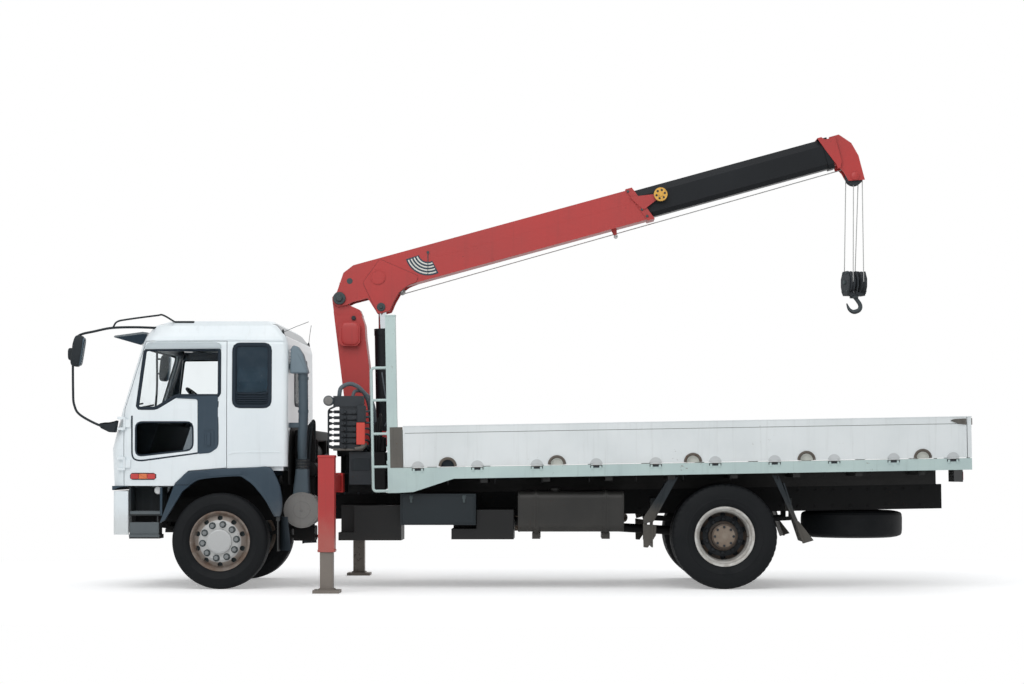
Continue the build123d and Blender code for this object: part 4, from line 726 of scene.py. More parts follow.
for side, tag, short in sides:
    x, y, z = frontWheel
    addPiece("tyre_front_" + tag + "_tread", [tyre(x, side * y, z, *tyreLook["front"])],
             tyreRubber, "wheel_f" + short, 30, ("tyre_front_" + tag,))
    x, y, z = rearWheel
    pair = [tyre(x, side * y + s * tyreLook["pairHalf"], z, *tyreLook["rear"]) for s in (-1, 1)]
    addPiece("tyre_rear_" + tag + "_tread", pair, tyreRubber, "wheel_r" + short, 30, ("tyre_rear_" + tag,))
print("tyres done")

# wheel nuts, hub bolts and valves; outlines are radius and distance outward from the wheel's middle
wheelLook = {"nutRing": 169.0, "nuts": 10, "frontNut": (46.0, 32.0), "rearNut": (40, 34), "frontFace": 113,
             "rearFace": 13, "capRing": 94.0, "capBolts": 8, "capBolt": (24, 14), "capFace": 200,
             "seat": [(0, 0), (36, 0), (34, 6), (0, 6)], "back": [(60, 20), (262, 20), (262, 30), (60, 30)],
             "cap": [(0, 146), (100, 146), (112, 145), (119, 140), (121, 118), (124, 116), (124, 110), (0, 110)],
             "rim": [(288, 107), (298, 107), (301, 103), (298, 98), (288, 98)],
             "ring": [(150, 12), (204, 12), (207, 18), (200, 22), (152, 22)],
             "drum": [(150, -30), (255, -30), (255, -42), (150, -42)],
             "lock": [(287, 267), (298, 268), (301, 264), (298, 258), (287, 259)],
             "valve": ((236, 60), (240, 150), (232, 215))}
for side, tag, short in sides:
    x, y, z = frontWheel
    hub = (x, side * y, z)
    places = laid(circle(x, z, wheelLook["nutRing"], wheelLook["nuts"], 0.12), "y",
                  side * (y + wheelLook["frontFace"]))
    seats = [scatter(turned(wheelLook["seat"], side, (0, 0, 0), 18), places),
             turned(wheelLook["back"], side, hub, 48)]
    cap = [turned(wheelLook["cap"], side, hub, 64), turned(wheelLook["rim"], side, hub, 72)]
    addPiece("front_nut_seats_" + tag, seats, pinSteel, "wheel_f" + short)
    addPiece("front_nuts_" + tag, [boltsAt(places, "y", side, *wheelLook["frontNut"])], hookSteel, "wheel_f" + short)
    addPiece("front_hub_cap_" + tag, cap, frontWheelPaint, "wheel_f" + short)
    x, y, z = rearWheel
    hub = (x, side * y, z)
    places = laid(circle(x, z, wheelLook["nutRing"], wheelLook["nuts"], 0.3), "y",
                  side * y + side * wheelLook["rearFace"])
    capPlaces = laid(circle(x, z, wheelLook["capRing"], wheelLook["capBolts"]), "y",
                     side * y + side * wheelLook["capFace"])
    nuts = [boltsAt(places, "y", side, *wheelLook["rearNut"]), boltsAt(capPlaces, "y", side, *wheelLook["capBolt"]),
            turned(wheelLook["ring"], side, hub, 64), turned(wheelLook["drum"], side, hub, 48)]
    addPiece("rear_nuts_" + tag, nuts, blockPaint, "wheel_r" + short)
    valve = tube([(x + up, side * y + side * out, z) for up, out in wheelLook["valve"]], 6, 8)
    addPiece("rear_lock_ring_" + tag, [turned(wheelLook["lock"], side, hub, 72), valve], rearWheelPaint,
             "wheel_r" + short)
print("wheel fittings done")

# cab surfaces: half width and front face at each height, as the panels run
cabHeights = np.array([1030, 1400, 1790, 2440, 2515, 2625, 2675.0])
cabHalves = np.array([1088, 1100, 1100, 1072, 1058, 1010, 930.0])
cabFronts = np.array([-1070, -1085, -985, -785, -755, -680, -550.0])


def onSide(outline, side, off=0.0):
    # outline points in x and z laid on the cab's side
    half = np.interp(outline[:, 1], cabHeights, cabHalves) + off
    return np.stack([outline[:, 0], side * half, outline[:, 1]], -1)


def onFront(outline, off=0.0):
    # outline points in y and z laid on the cab's front
    return np.stack([np.interp(outline[:, 1], cabHeights, cabFronts) - off, outline[:, 0], outline[:, 1]], -1)


def finer(outline, step=30.0):
    # more points along straight runs, evenly spaced by length
    closedRun = np.concatenate([outline, outline[:1]])
    length = np.concatenate([[0], np.cumsum(np.linalg.norm(np.diff(closedRun, axis=0), axis=1))])
    at = np.linspace(0, length[-1], max(int(length[-1] / step), 8), endpoint=False)
    return np.stack([np.interp(at, length, closedRun[:, i]) for i in range(closedRun.shape[1])], -1)


def sideBand(outline, side, off, halfWidth, height):
    # a closed strip round an outline on the cab's side
    return band(onSide(finer(outline), side, off), (0, side, 0), halfWidth, height)


doorLook = {
    "window": [(-815, 1800), (-630, 1800), (-425, 1925), (0, 1925), (0, 2392), (-738, 2385)],
    "lowWindow": [(-830, 1323), (-262, 1387), (-262, 1664), (-830, 1664)],
    "lowFrame": [(-849, 1301), (-245, 1301), (-245, 1679), (-849, 1679)],
    "groove": [(-867, 1786), (-867, 1305), (-800, 1276), (-240, 1351), (-86, 1378), (-14, 1412), (-14, 1930)],
    "panel": [(-216, 1345), (-90, 1356), (-13, 1410), (-13, 1925), (-418, 1912), (-432, 1900), (-216, 1890)],
    "visor": [(-742, 2386), (-748, 2398), (-716, 2448), (-690, 2456), (-24, 2456), (10, 2440), (16, 2400), (8, 2392)],
    "recess": (-150, -52, 1410, 1590, 22), "handle": (-124, -84, 1425, 1560, 14), "key": (-104, 1578, 9),
    "marker": (-880, -636, 1098, 1150), "markerDepth": (1086, 1104, 4),
}
for side, tag, short in sides:
    body = "door_" + short
    seals = [sideBand(rounded(doorLook[key], r), side, -2, w, h)
             for key, r, w, h in (("window", 24, 17, 8), ("lowWindow", 62, 9, 5))]
    loops = [onSide(rounded(doorLook[key], r, 7), side, off) for key, r, off in (
        ("lowFrame", 34, -16), ("lowFrame", 34, 1), ("lowWindow", 62, 1), ("lowWindow", 62, -16))]
    addPiece("door_low_frame_" + tag, [loft(loops, True)], cabPaint, body)
    run = rounded(doorLook["groove"], 60)[4:31]
    seals.append(band(onSide(run, side, 0.5), (0, side, 0), 8, 1.6, False))
    addPiece("door_seals_" + tag, seals, sealRubber, body)
    panel = [plate(rounded(doorLook["panel"], 24), side, 1098.5, 1102.5, 1.2),
             sideBand(box2(*doorLook["recess"]), side, 2.5, 5, 3),
             plate(box2(*doorLook["handle"]), side, 1101, 1112, 4),
             plate(circle(*doorLook["key"]), side, 1101, 1105, 1)]
    addPiece("door_handle_panel_" + tag, panel, slateTrim, body)
    visor = onSide(rounded(doorLook["visor"], 14), side)
    centre = visor.mean(0)
    out = np.array([0, side, 0])
    bulge = [visor, visor + out * 14, (visor - centre) * 0.93 + centre + out * 24]
    addPiece("door_rain_visor_" + tag, [loft(bulge)],
             glassFinish("rain_visor_" + tag, tint(206, 216, 220), 0.3, 0.12), body)
    x0, x1, z0, z1 = doorLook["marker"]
    cut = (x1 - x0) / 3
    rim = sideBand(box2(x0 - 4, x1 + 4, z0 - 4, z1 + 4, 12), side, -6, 6, 9)
    red, amber = [[plate(box2(a, b, z0, z1, r), side, *doorLook["markerDepth"]) for a, b, r in cells] for cells in (
        ((x0, x0 + cut - 2, 10), (x1 - cut + 2, x1, 10)), ((x0 + cut, x1 - cut, 3),))]
    addPiece("marker_bezel_" + tag, [rim], blackPlastic, body)
    addPiece("marker_red_" + tag, red, redLens, body)
    addPiece("marker_amber_" + tag, amber, amberLens, body)
print("doors done")

quarterLook = {"outline": (143, 502, 1818, 2436, 60), "frame": (160, 486, 1946, 2420, 40), "louvre": (160, 486),
               "slats": np.arange(1832, 1930, 22), "pane": (150, 496, 1826, 2430, 50),
               "crease": [(84, 1340), (150, 1362), (300, 1364), (600, 1364)],
               "gutter": [(-640, 2475), (-400, 2477), (0, 2478), (400, 2477), (640, 2474)]}
for side, tag, short in sides:
    seals = [sideBand(box2(*quarterLook["outline"]), side, -2, 18, 9),
             sideBand(box2(*quarterLook["frame"]), side, -14, 9, 12)]
    seals += [slab([(side * (1066 + i % 2), z), (side * 1088, z - 6), (side * 1090, z + 8), (side * 1068, z + 14)],
                   "x", *quarterLook["louvre"], 2) for i, z in enumerate(quarterLook["slats"])]
    addPiece("quarter_seal_" + tag, seals, sealRubber, "cab")
    addPiece("quarter_pane_" + tag, [plate(box2(*quarterLook["pane"]), side, 1058, 1066, 1)], darkGlass, "cab")
    lines = [band(onSide(np.array(quarterLook[key]), side, off), (0, side, 0), 7, h, False)
             for key, off, h in (("crease", 0, 4.5), ("gutter", 2, 9))]
    addPiece("cab_gutter_" + tag, lines, cabPaint, "cab")

frontLook = {"screen": (-925, 925, 1815, 2415, 84), "rearScreen": (-520, 520, 1850, 2330, 62), "grille": (-620, 620),
             "bars": np.linspace(1176, 1364, 5), "plate": (-165, 165, 600, 700, 10),
             "wipers": ((-620, 520), (-40, 520), (560, 500)),
             "pivot": [(0, -14), (20, -14), (20, 10), (12, 16), (0, 16)],
             "aerials": ([(620, -1000, 2560), (760, -1010, 2620), (880, -1018, 2664)],
                         [(640, 985, 2540), (650, 990, 2640), (668, 992, 2760)]),
             "foot": [(0, -16), (14, -16), (12, 10), (6, 30), (0, 30)]}
screenSeal = band(onFront(finer(box2(*frontLook["screen"])), -2), (-1, 0, 0.32), 20, 5)
rearSeal = band(laid(finer(box2(*frontLook["rearScreen"])), "x", 674.0), (1, 0, 0), 18, 9)
addPiece("screen_seals", [screenSeal, rearSeal], sealRubber, "cab")
bars = []
for z in frontLook["bars"]:
    x = np.interp(z, cabHeights, cabFronts)
    bars.append(slab([(x - 5, z), (x - 5, z + 16), (x + 8, z + 24), (x + 8, z - 4)], "y", *frontLook["grille"], 3))
addPiece("grille", bars, slateTrim, "cab")
wipers = []
for y, reach in frontLook["wipers"]:
    middle = y + 330
    pivot = onFront(np.array([(y, 1790)]), 14)[0]
    tip = onFront(np.array([(middle, 1860)]), 16)[0]
    blade = onFront(np.array([(middle - reach / 2, 1842), (middle, 1860), (middle + reach / 2, 1878)]), 14)
    wipers += [tube([pivot, (pivot + tip) / 2 + np.array([-10, 0, 0]), tip], 8, 8),
               spun(frontLook["pivot"], pivot, "x", 20), hose(blade, 9)]
addPiece("wipers", wipers, blackPlastic, "cab")
aerials = [tube(run, 2.6, 6) for run in frontLook["aerials"]]
aerials += [spun(frontLook["foot"], run[0], "z", 16) for run in frontLook["aerials"]]
aerials += [slab(box2(-470, -273, *limits, 10), "z", 2650, 2676, 4) for limits in ((-962, -918), (918, 962))]
addPiece("roof_fittings", aerials, blackPlastic, "cab")

# mirrors: bent tubes from the door pillar to the roof, padded heads with a silvered face towards the rear
mirrorLook = {
    "tube": 12.0, "armY": 1140, "cap": ((-1462, -1140, 2335), (54, 96, 112), 0.5),
    "guard": [(-1046, -1140, 2600), (-1005, -1140, 2656), (-900, -1138, 2680), (-620, -1130, 2718),
              (-552, -1112, 2722), (-460, -912, 2660)],
    -1: {"arm": [(-1036, -990, 1612), (-1150, -1126, 1618), (-1365, -1140, 1728), (-1430, -1140, 1830),
                 (-1442, -1140, 1980), (-1442, -1140, 2360), (-1424, -1140, 2470), (-1368, -1140, 2528),
                 (-1230, -1140, 2561), (-1060, -1138, 2595), (-850, -1060, 2607), (-640, -968, 2606)],
         "head": (-1388, -1172, 2364), "size": (112, 132, 312), "lean": 9.0, "holders": (2250, 2450),
         "boot": [(-1190, 1650), (-1176, 1604), (-1090, 1562), (-1030, 1560), (-1010, 1682), (-1070, 1660),
                  (-1130, 1660)]},
    1: {"arm": [(-1036, 990, 1615), (-1078, 1130, 1640), (-1088, 1140, 1760), (-1064, 1140, 1860),
                (-1046, 1140, 2100), (-1046, 1140, 2440), (-1036, 1140, 2530), (-960, 1132, 2588),
                (-820, 1050, 2604), (-640, 968, 2606)],
        "head": (-952, 1106, 2298), "size": (112, 124, 292), "lean": 5.0, "holders": (2240, 2400),
        "boot": [(-1108, 1668), (-1104, 1604), (-1080, 1570), (-1030, 1560), (-1010, 1682), (-1050, 1690)]},
}


def signedPower(value, power):
    # the power of the size, with the sign put back: low powers square a circle off
    return np.sign(value) * np.abs(value) ** power


def pillow(centre, size, square=0.35, swell=0.1, turn=0.0):
    # a rounded box whose sides pull in between the corners and whose top swells, leaned about y
    u, v = np.meshgrid(np.linspace(-pi / 2, pi / 2, 25), np.linspace(0, 2 * pi, 48, endpoint=False), indexing="ij")
    across, x, y, z = [signedPower(value, square) for value in (np.cos(u), np.cos(v), np.sin(v), np.sin(u))]
    x, y = across * x, across * y
    z = z * (1 + swell * (1 - x * x) * (1 - y * y))
    x, y = x * (1 - 0.05 * (1 - y * y)), y * (1 - 0.04 * (1 - x * x))
    c, s = cos(radians(turn)), sin(radians(turn))
    x, y, z = x * size[0] / 2, y * size[1] / 2, z * size[2] / 2
    return loft(np.stack([centre[0] + x * c + z * s, centre[1] + y, centre[2] - x * s + z * c], -1))


shells = [hose(mirrorLook["guard"], 9, 10), pillow(*mirrorLook["cap"])]
faces = []
for side in (-1, 1):
    own = mirrorLook[side]
    lean, y0 = own["lean"], side * mirrorLook["armY"]
    x, y, z = own["head"]
    a, b, c = own["size"]
    shells += [hose(own["arm"], mirrorLook["tube"], 10), pillow(own["head"], own["size"], 0.5, 0.0, lean)]
    faces.append(pillow((x + a * 0.36, y, z - a * 0.36 * sin(radians(lean))), (a * 0.34, b * 0.86, c * 0.9),
                        0.42, 0.0, lean))
    armX, _, armZ = zip(*own["arm"][4:6])
    shells += [tube([(np.interp(h, armZ, armX), y0, h), (x - 20, y0, h)], 10, 8) for h in own["holders"]]
    shells.append(plate(rounded(own["boot"], 12), side, 1030, 1128, 10))
addPiece("mirror_shells", shells, blackPlastic, "cab", 38, ("mirrors",))
addPiece("mirror_glass", faces, glassFinish("mirror_silver", tint(70, 84, 94), 0.0, 0.25, None, 0.3), "cab")

# sun visor: a thin smoked blade with a wing at each end, the wings in dark glass as painted shade of the visor's
# underside
visorLook = {"blade": [(-745, 2546), (-752, 2566), (-800, 2572), (-1080, 2534), (-1090, 2520), (-1078, 2513),
                       (-800, 2549)],
             "shadeWing": [(-1080, 2516), (-820, 2440), (-778, 2462), (-752, 2546), (-800, 2550)], "half": 900}
half = visorLook["half"]
addPiece("visor_blade", [slab(visorLook["blade"], "y", -half, half, 2)], visorTint, "cab", 38, ("sun_visor",))
# dark glass on the end wings: painted shade of the visor's underside
shadeWings = [plate(visorLook["shadeWing"], side, half - 8, half, 1) for side in (-1, 1)]
addPiece("visor_shade_wings", shadeWings, darkGlass, "cab")

# wheel arch trims: outer and inner edge drawn as matching runs, the section between them rounded at its lips
flareLook = {
    "outer": [(-446, 1041), (-401, 1085), (-312, 1168), (-150, 1186), (33, 1201), (200, 1208), (350, 1214),
              (492, 1218), (552, 1140), (602, 1020), (622, 890), (620, 790), (606, 727)],
    "inner": [(-285, 1041), (-240, 1073), (-190, 1092), (-80, 1108), (50, 1118), (150, 1124), (214, 1121),
              (262, 1092), (330, 1040), (408, 950), (466, 870), (510, 790), (545, 725)],
    "section": [(0.0, 1057), (0.0, 1104), (0.08, 1111), (0.16, 1112), (0.80, 1112), (0.86, 1108), (0.92, 1112),
                (0.98, 1110), (1.0, 1104), (1.0, 1057)],
}
outer, inner = smoothPath(flareLook["outer"], 6), smoothPath(flareLook["inner"], 6)
flares = [loft(np.stack([laid(outer + (inner - outer) * k, "y", side * y) for k, y in flareLook["section"]], 1))
          for side in (-1, 1)]
addPiece("wheel_arch_trims", flares, slateTrim, "cab", 38, ("cab_flares",))
print("cab trim done")

# seats: closed pillows on moulded bases; each pad has its centre, its size and its lean
seatLook = {"y": 605, "cushion": (185, 1590, (470, 530, 120), 2.5), "back": (450, 1930, (110, 520, 590), 12),
            "rest": (530, 2290, (64, 250, 190), 8)}
for side, tag, short in sides:
    y = side * seatLook["y"]
    base = slab(box2(-10, 400, y - 240, y + 240, 40), "z", 1221, 1540, 10)
    addPiece("seat_base_" + tag, [base], blackPlastic, "cab", 38, ("seats",))
    for key in ("cushion", "back", "rest"):
        x, z, size, lean = seatLook[key]
        pad = addPiece("seat_" + key + "_" + tag, [pillow((x, y, z), size, turn=lean)], seatCloth, "cab")
print("seats done")

# bumper, lamps and steps
lampLook = {"cells": (720, 860), "z": 825, "lens": 62.0, "middle": 790, "depth": (-1066, -1056, 2)}
r = lampLook["lens"]
ring = [(r, -1064), (r + 6, -1064), (r + 6, -1070), (r, -1071)]
dome = [(0, -1064), (r, -1064), (r * 0.8, -1072), (r * 0.45, -1077), (0, -1079)]
rings, lenses = [], []
for side in (-1, 1):
    for y in lampLook["cells"]:
        rings.append(spun(ring, (0, side * y, lampLook["z"]), "x", 40))
        lenses.append(spun(dome, (0, side * y, lampLook["z"]), "x", 40))
    y = side * lampLook["middle"]
    rings.append(band(laid(finer(box2(y - 156, y + 156, 739, 911, 20), 16), "x", -1060.0), (-1, 0, 0), 6, 9))
addPiece("headlamp_rings", rings, brightSteel)
addPiece("headlamp_lenses", lenses, lensGlass)
addPiece("front_plate", [slab(box2(*frontLook["plate"]), "x", -1070, -1058, 2)], plateWhite)
strip = [slab([(-1072, 986), (-1072, 1028), (-1050, 1028), (-1050, 986)], "y", -1040, 1040, 6)]
sillEnd = [(-1066, 988), (-1066, 1029), (-905, 1029), (-905, 1023), (-930, 1023), (-985, 1017), (-1030, 1004)]
strip += [plate(sillEnd, side, 1070, 1092, 2) for side in (-1, 1)]
slots = [slab(box2(-half, half, low, high, 8), "x", *lampLook["depth"])
         for half, low, high in ((560, 578, 598), (420, 930, 952))]
addPiece("bumper_strip", slots, blackPlastic)
addPiece("cab_sill_strip", strip, slateTrim, "cab")

treadLook = {"studPitch": 30.0, "treads": ((-880, -595, 775.0), (-892, -606, 545.0)), "stud": ((9, -1), (7, 5), (4, 6)),
             "face": [(-896, 548), (-610, 548), (-604, 560), (-604, 668), (-896, 668)], "lamp": (-618, 985, 40)}
stud = loft([laid(circle(0, 0, r, 8), "z", h) for r, h in treadLook["stud"]])
studs, faces, lamps = [], [], []
for side in (-1, 1):
    for x0, x1, z in treadLook["treads"]:
        gx, gy = np.meshgrid(np.arange(x0 + 16, x1 - 10, treadLook["studPitch"]),
                             np.arange(860, 1078, treadLook["studPitch"]))
        nose = [(side * 1064, z - 26), (side * 1091, z - 26), (side * 1091, z + 2), (side * 1064, z + 5)]
        studs += [scatter(stud, np.stack([gx.ravel(), side * gy.ravel(), np.full(gx.size, z)], -1)),
                  slab(nose, "x", x0 - 8, x1 + 8, 3)]
    faces.append(plate(rounded(treadLook["face"], 10), side, 1070, 1078, 3))
    lamps.append(plate(circle(*treadLook["lamp"]), side, 985, 1040, 9))
addPiece("step_treads", studs, stepSteel)
addPiece("step_faces", faces, stepSteel)
# mud flaps: a sheet that turns outwards behind the wheel, its rear edge running back as it nears the side
flapLook = {"y": (945, 1104), "steps": 9, "rims": ((578, 706, 384, 0), (574, 671, 722, 0), (574, 671, 722, 9.0),
                                                   (578, 706, 384, 9.0))}
near, far = flapLook["y"]
u = np.linspace(0, 1, flapLook["steps"])
flaps = [loft(np.stack([np.column_stack([x0 + (x1 - x0) * u ** 1.3 + back, side * (near + (far - near) * u),
                                         np.full(len(u), z)]) for x0, x1, z, back in flapLook["rims"]], 1))
         for side in (-1, 1)]
addPiece("front_mud_flaps", flaps, flapRubber)
addPiece("step_lamps", lamps, whiteLens)
print("front end done")

# air intake: hood, bent pipe, bellows, funnel and ribbed lid
intakeLook = {"axis": (795, -840), "bellows": np.linspace(1200, 1290, 7), "lid": (795, 0, 786),
              "fold": [(60, -7), (74, -3), (74, 3), (60, 7)], "lidRings": (84, 160),
              "knob": [(0, -930), (11, -930), (11, -938), (6, -941), (0, -941)],
              "lidEdge": [(176, -880), (183, -878), (183, -864), (176, -862)],
              "funnel": ((784, 84, 70, 900), (788, 80, 68, 1000), (795, 66, 66, 1188), (795, 66, 66, 1196)),
              "pipe": 48.0, "ribs": np.linspace(2190, 2380, 7),
              "hood": [(688, 2152), (697, 2396), (722, 2432), (766, 2420), (816, 2344), (868, 2164), (862, 2152)],
              "run": [(812, -930, 2170), (814, -930, 1960), (815, -930, 1740), (806, -920, 1560), (796, -880, 1420),
                      (794, -846, 1330), (795, -840, 1300)]}
x, y = intakeLook["axis"]
bellows = [spun(intakeLook["fold"], (x, y, z), "z", 32) for z in intakeLook["bellows"]]
addPiece("intake_bellows", bellows, flapRubber)
lid = [spun([(r - 5, -930), (r - 3, -934), (r + 3, -934), (r + 5, -930)], intakeLook["lid"], "y", 56)
       for r in intakeLook["lidRings"]]
lid += [spun(intakeLook["knob"], intakeLook["lid"], "y", 16), spun(intakeLook["lidEdge"], intakeLook["lid"], "y", 56)]
addPiece("cleaner_lid_ribs", lid, cleanerFinish)
funnel = [laid(box2(c - a, c + a, y - b, y + b, 26), "z", z) for c, a, b, z in intakeLook["funnel"]]
addPiece("intake_funnel", [loft(funnel)], snorkelFinish)
pipe = [hose(intakeLook["run"], intakeLook["pipe"], 20)]
pipe += [tube([(814, -930, z), (814, -930, z + 26)], intakeLook["pipe"] + 5, 20) for z in (1760, 2090)]
pipe += [slab(box2(676, 790, z, z + 50, 6), "y", -956, -904, 3) for z in (1610, 2200)]
addPiece("intake_pipe", pipe, snorkelFinish, "cab", 38, ("snorkel",))
hood = [slab(rounded(intakeLook["hood"], 16), "y", -1010, -850, 12)]
hood += [slab([(684 + i, z), (680 + i, z + 6), (684 + i, z + 12), (700, z + 12), (700, z)], "y", -990, -870, 2)
         for i, z in enumerate(intakeLook["ribs"])]
addPiece("intake_hood", hood, hoodFinish, "cab")

# behind the cab: a dark splash board on the rear wall, and the air gear on the frame with its hoses
backLook = {"board": [(-1050, 1040), (-1050, 1300), (-960, 1540), (-820, 1630), (820, 1630), (960, 1540),
                      (1050, 1300), (1050, 1040)],
            "tanks": ((760, 1030, 86), (850, 1190, 80), (770, 1370, 90)),
            "tankEnd": ((0.0, 700), (0.6, 704), (0.94, 690), (1.0, 664))}
addPiece("cab_splash_board", [slab(rounded(backLook["board"], 40), "x", 677, 686, 2)], framePaint, "cab")
end = backLook["tankEnd"]
gear = [spun([(r * k, -w) for k, w in end] + [(r * k, w) for k, w in end[::-1]], (x, 0, z), "y", 28)
        for x, z, r in backLook["tanks"]]
gear += [slab(box2(700, 900, 931, 1500, 20), "y", y - 20, y + 20, 6) for y in (-640, -400, 400, 640)]
gear += [slab(box2(704, 740, 935, 1590, 10), "y", -730, 730, 6),
         slab(box2(716, 886, 1480, 1590, 24), "y", -700, 700, 10)]
addPiece("air_gear", gear, framePaint)
hoses = [hose([(740 + 26 * i, -735 - 4 * i, 1000), (730 + 30 * i, -750, 1180), (752 + 26 * i, -744, 1400),
               (790 + 22 * i, -716, 1560 + 24 * i), (846 + 12 * i, -660, 1600 + 16 * i), (888, -600, 1500),
               (890, -560, 1300)], 13, 10) for i in range(5)]
addPiece("air_hoses", hoses, blackPlastic)
under = [slab(box2(690, 900, 470, 620, 14), "y", -700, -440, 6),
         slab(box2(560, 1010, 500, 530, 8), "y", -640, -600, 4)]
addPiece("cleaner_brackets", under, framePaint)
print("intake done")

# crane: boom side plates, angle dial, pins and rope, drawn along the boom from its pin
boomSizes = {
    "gusset": [(280, 94), (341, -258), (470, -264), (530, -186), (612, -104), (716, -58), (818, -46), (851, 10),
               (511, 280)],
    "dialPivot": (1013, 219), "dialArc": (-178, -78), "dialRadii": (99, 240),
    "stripes": ((114, 128), (146, 160), (178, 192), (210, 224)), "pointer": [(-4, 0), (-66, -226), (-60, -228), (5, 0)],
    "liftPin": (394.6, 0, -201.2), "liftCap": [(0, 131), (44, 131), (44, 142), (38, 147), (0, 147)],
    "stud": [(0, 124), (14, 124), (14, 134), (0, 134)], "eye": [(62, 137), (75, 137), (73, 141), (64, 141)],
    "pinCap": [(0, 136), (64, 136), (66, 141), (60, 150), (0, 150)], "collarBolts": (-20, 60, 200, 280),
    "ropeFrom": (636, -120), "ropeTo": (5333, -79), "ropeR": 5.0,
    "runs": (("boom", 636, 3300, 0.0), ("boom_mid", 2800, 5300, 0.15), ("boom_head", 3130, 5500, 0.3)),
    "guideLug": [(2925, -60), (2965, -60), (2955, -128), (2935, -128)],
    "guide": [(8, -16), (22, -16), (18, 0), (22, 16), (8, 16)],
    "lead": [(10, -14), (34, -14), (28, 0), (34, 14), (10, 14)],
}


def sector(centre, inner, outer, first, last, count=28):
    # a piece of a ring: the outer arc one way, the inner arc back
    t = np.radians(np.linspace(first, last, count))
    arc = np.stack([np.cos(t), np.sin(t)], -1)
    return np.concatenate([arc * outer, arc[::-1] * inner]) + np.asarray(centre, float)


def onBoom(shapes):
    # shapes drawn along the boom, put where the boom is
    return [turnedBy(shape, boomPin) for shape in shapes]


plates, seams, dials, marks, pins, columnPins, caps = [], [], [], [], [], [], []
pivot, (first, last) = boomSizes["dialPivot"], boomSizes["dialArc"]
gusset = rounded(boomSizes["gusset"], 18)
pinX, _, pinZ = boomSizes["liftPin"]
for side in (-1, 1):
    plates += [plate(gusset, side, 122, 132, 2.5), plate(box2(40, 3180, 150, 156), side, 124.2, 125.6, 0.5),
               turned(boomSizes["eye"], side, (445, 0, 110), 40)]
    seams.append(band(laid(finer(gusset, 24), "y", side * 125.0), (0, side, 0), 5, 5))
    dials.append(plate(sector(pivot, *boomSizes["dialRadii"], first, last), side, 123, 127.5, 0.8))
    marks += [plate(sector(pivot, *radii, first + 4, last - 4), side, 126, 128.6, 0.4)
              for radii in boomSizes["stripes"]]
    pins += [turned(boomSizes["liftCap"], side, boomSizes["liftPin"], 36),
             boltsAt([(pinX, side * 146, pinZ)], "y", side, 34, 16),
             turned(boomSizes["stud"], side, (pivot[0], 0, pivot[1]), 18),
             plate(np.array(boomSizes["pointer"]) + pivot, side, 129, 131)]
    caps.append(plate(circle(150, 146, 31), side, 122, 127, 1.5))
    columnPins += [turned(boomSizes["pinCap"], side, (0, 0, 0), 40), boltsAt([(0, side * 149, 0)], "y", side, 62, 26)]
collarBolts = [boltsAt([(3300 - 0.42 * v, side * 136, v) for v in boomSizes["collarBolts"]], "y", side, 26, 12)
               for side in (-1, 1)]
addPiece("boom_gussets", onBoom(plates), cranePaint, "boom")
addPiece("gusset_seams", onBoom(seams), seamPaint, "boom")
addPiece("dial_plates", onBoom(dials), slateTrim, "boom")
addPiece("dial_marks", onBoom(marks), plateWhite, "boom")
addPiece("boom_pins", onBoom(pins + caps + collarBolts), pinSteel, "boom")
addPiece("column_pins", onBoom(columnPins), pinSteel, "column")

# cable reel: two holed flanges and the layers of cable between them, whose radius ripples across
reelLook = {"at": (3500, 0, 157), "flange": [(12, 0), (70, 0), (70, 5), (12, 5)], "flanges": (-190, -140), "holes": 6,
            "holeRing": 44, "turns": 46, "hub": [(0, -198), (20, -198), (20, -186), (0, -186)]}
flanges = [spun(np.array(reelLook["flange"]) + (0, a), reelLook["at"], "y", 44) for a in reelLook["flanges"]]
flanges.append(spun(reelLook["hub"], reelLook["at"], "y", 24))
addPiece("reel_flanges", onBoom(flanges), reelYellow, "boom")
cable = [slab(circle(a, b, 12, 16), "y", -191.5, -189, 0.5)
         for a, b in circle(*reelLook["at"][::2], reelLook["holeRing"], reelLook["holes"])]
ripple = 67 + 1.6 * np.cos(np.arange(reelLook["turns"]) * pi / 2)
wind = np.stack([ripple, np.linspace(-140, -185, reelLook["turns"])], -1)
cable.append(spun(np.concatenate([[(50, -185), (50, -140)], wind]), reelLook["at"], "y", 44))
addPiece("reel_cable", onBoom(cable), blockPaint, "boom")


def ropeHeight(u):
    # the straight line between the rope's two ends
    (u0, v0), (u1, v1) = boomSizes["ropeFrom"], boomSizes["ropeTo"]
    return v0 + (u - u0) * (v1 - v0) / (u1 - u0)


for body, u0, u1, grow in boomSizes["runs"]:
    run = rope((u0, 0, ropeHeight(u0)), (u1, 0, ropeHeight(u1)), boomSizes["ropeR"] + grow, 80.0, 10.0)
    addPiece("hoist_line_" + body, onBoom([run]), wireRope, body)
guides = [spun(boomSizes["guide"], (2945, 0, -126), "y", 24)]
guides += [plate(boomSizes["guideLug"], side, 20, 26) for side in (-1, 1)]
guides += [spun(boomSizes["lead"], (640, 0, -96), "y", 28), slab(circle(640, -96, 12), "y", -112, 112, 2)]
addPiece("rope_guides", onBoom(guides), brightSteel, "boom")

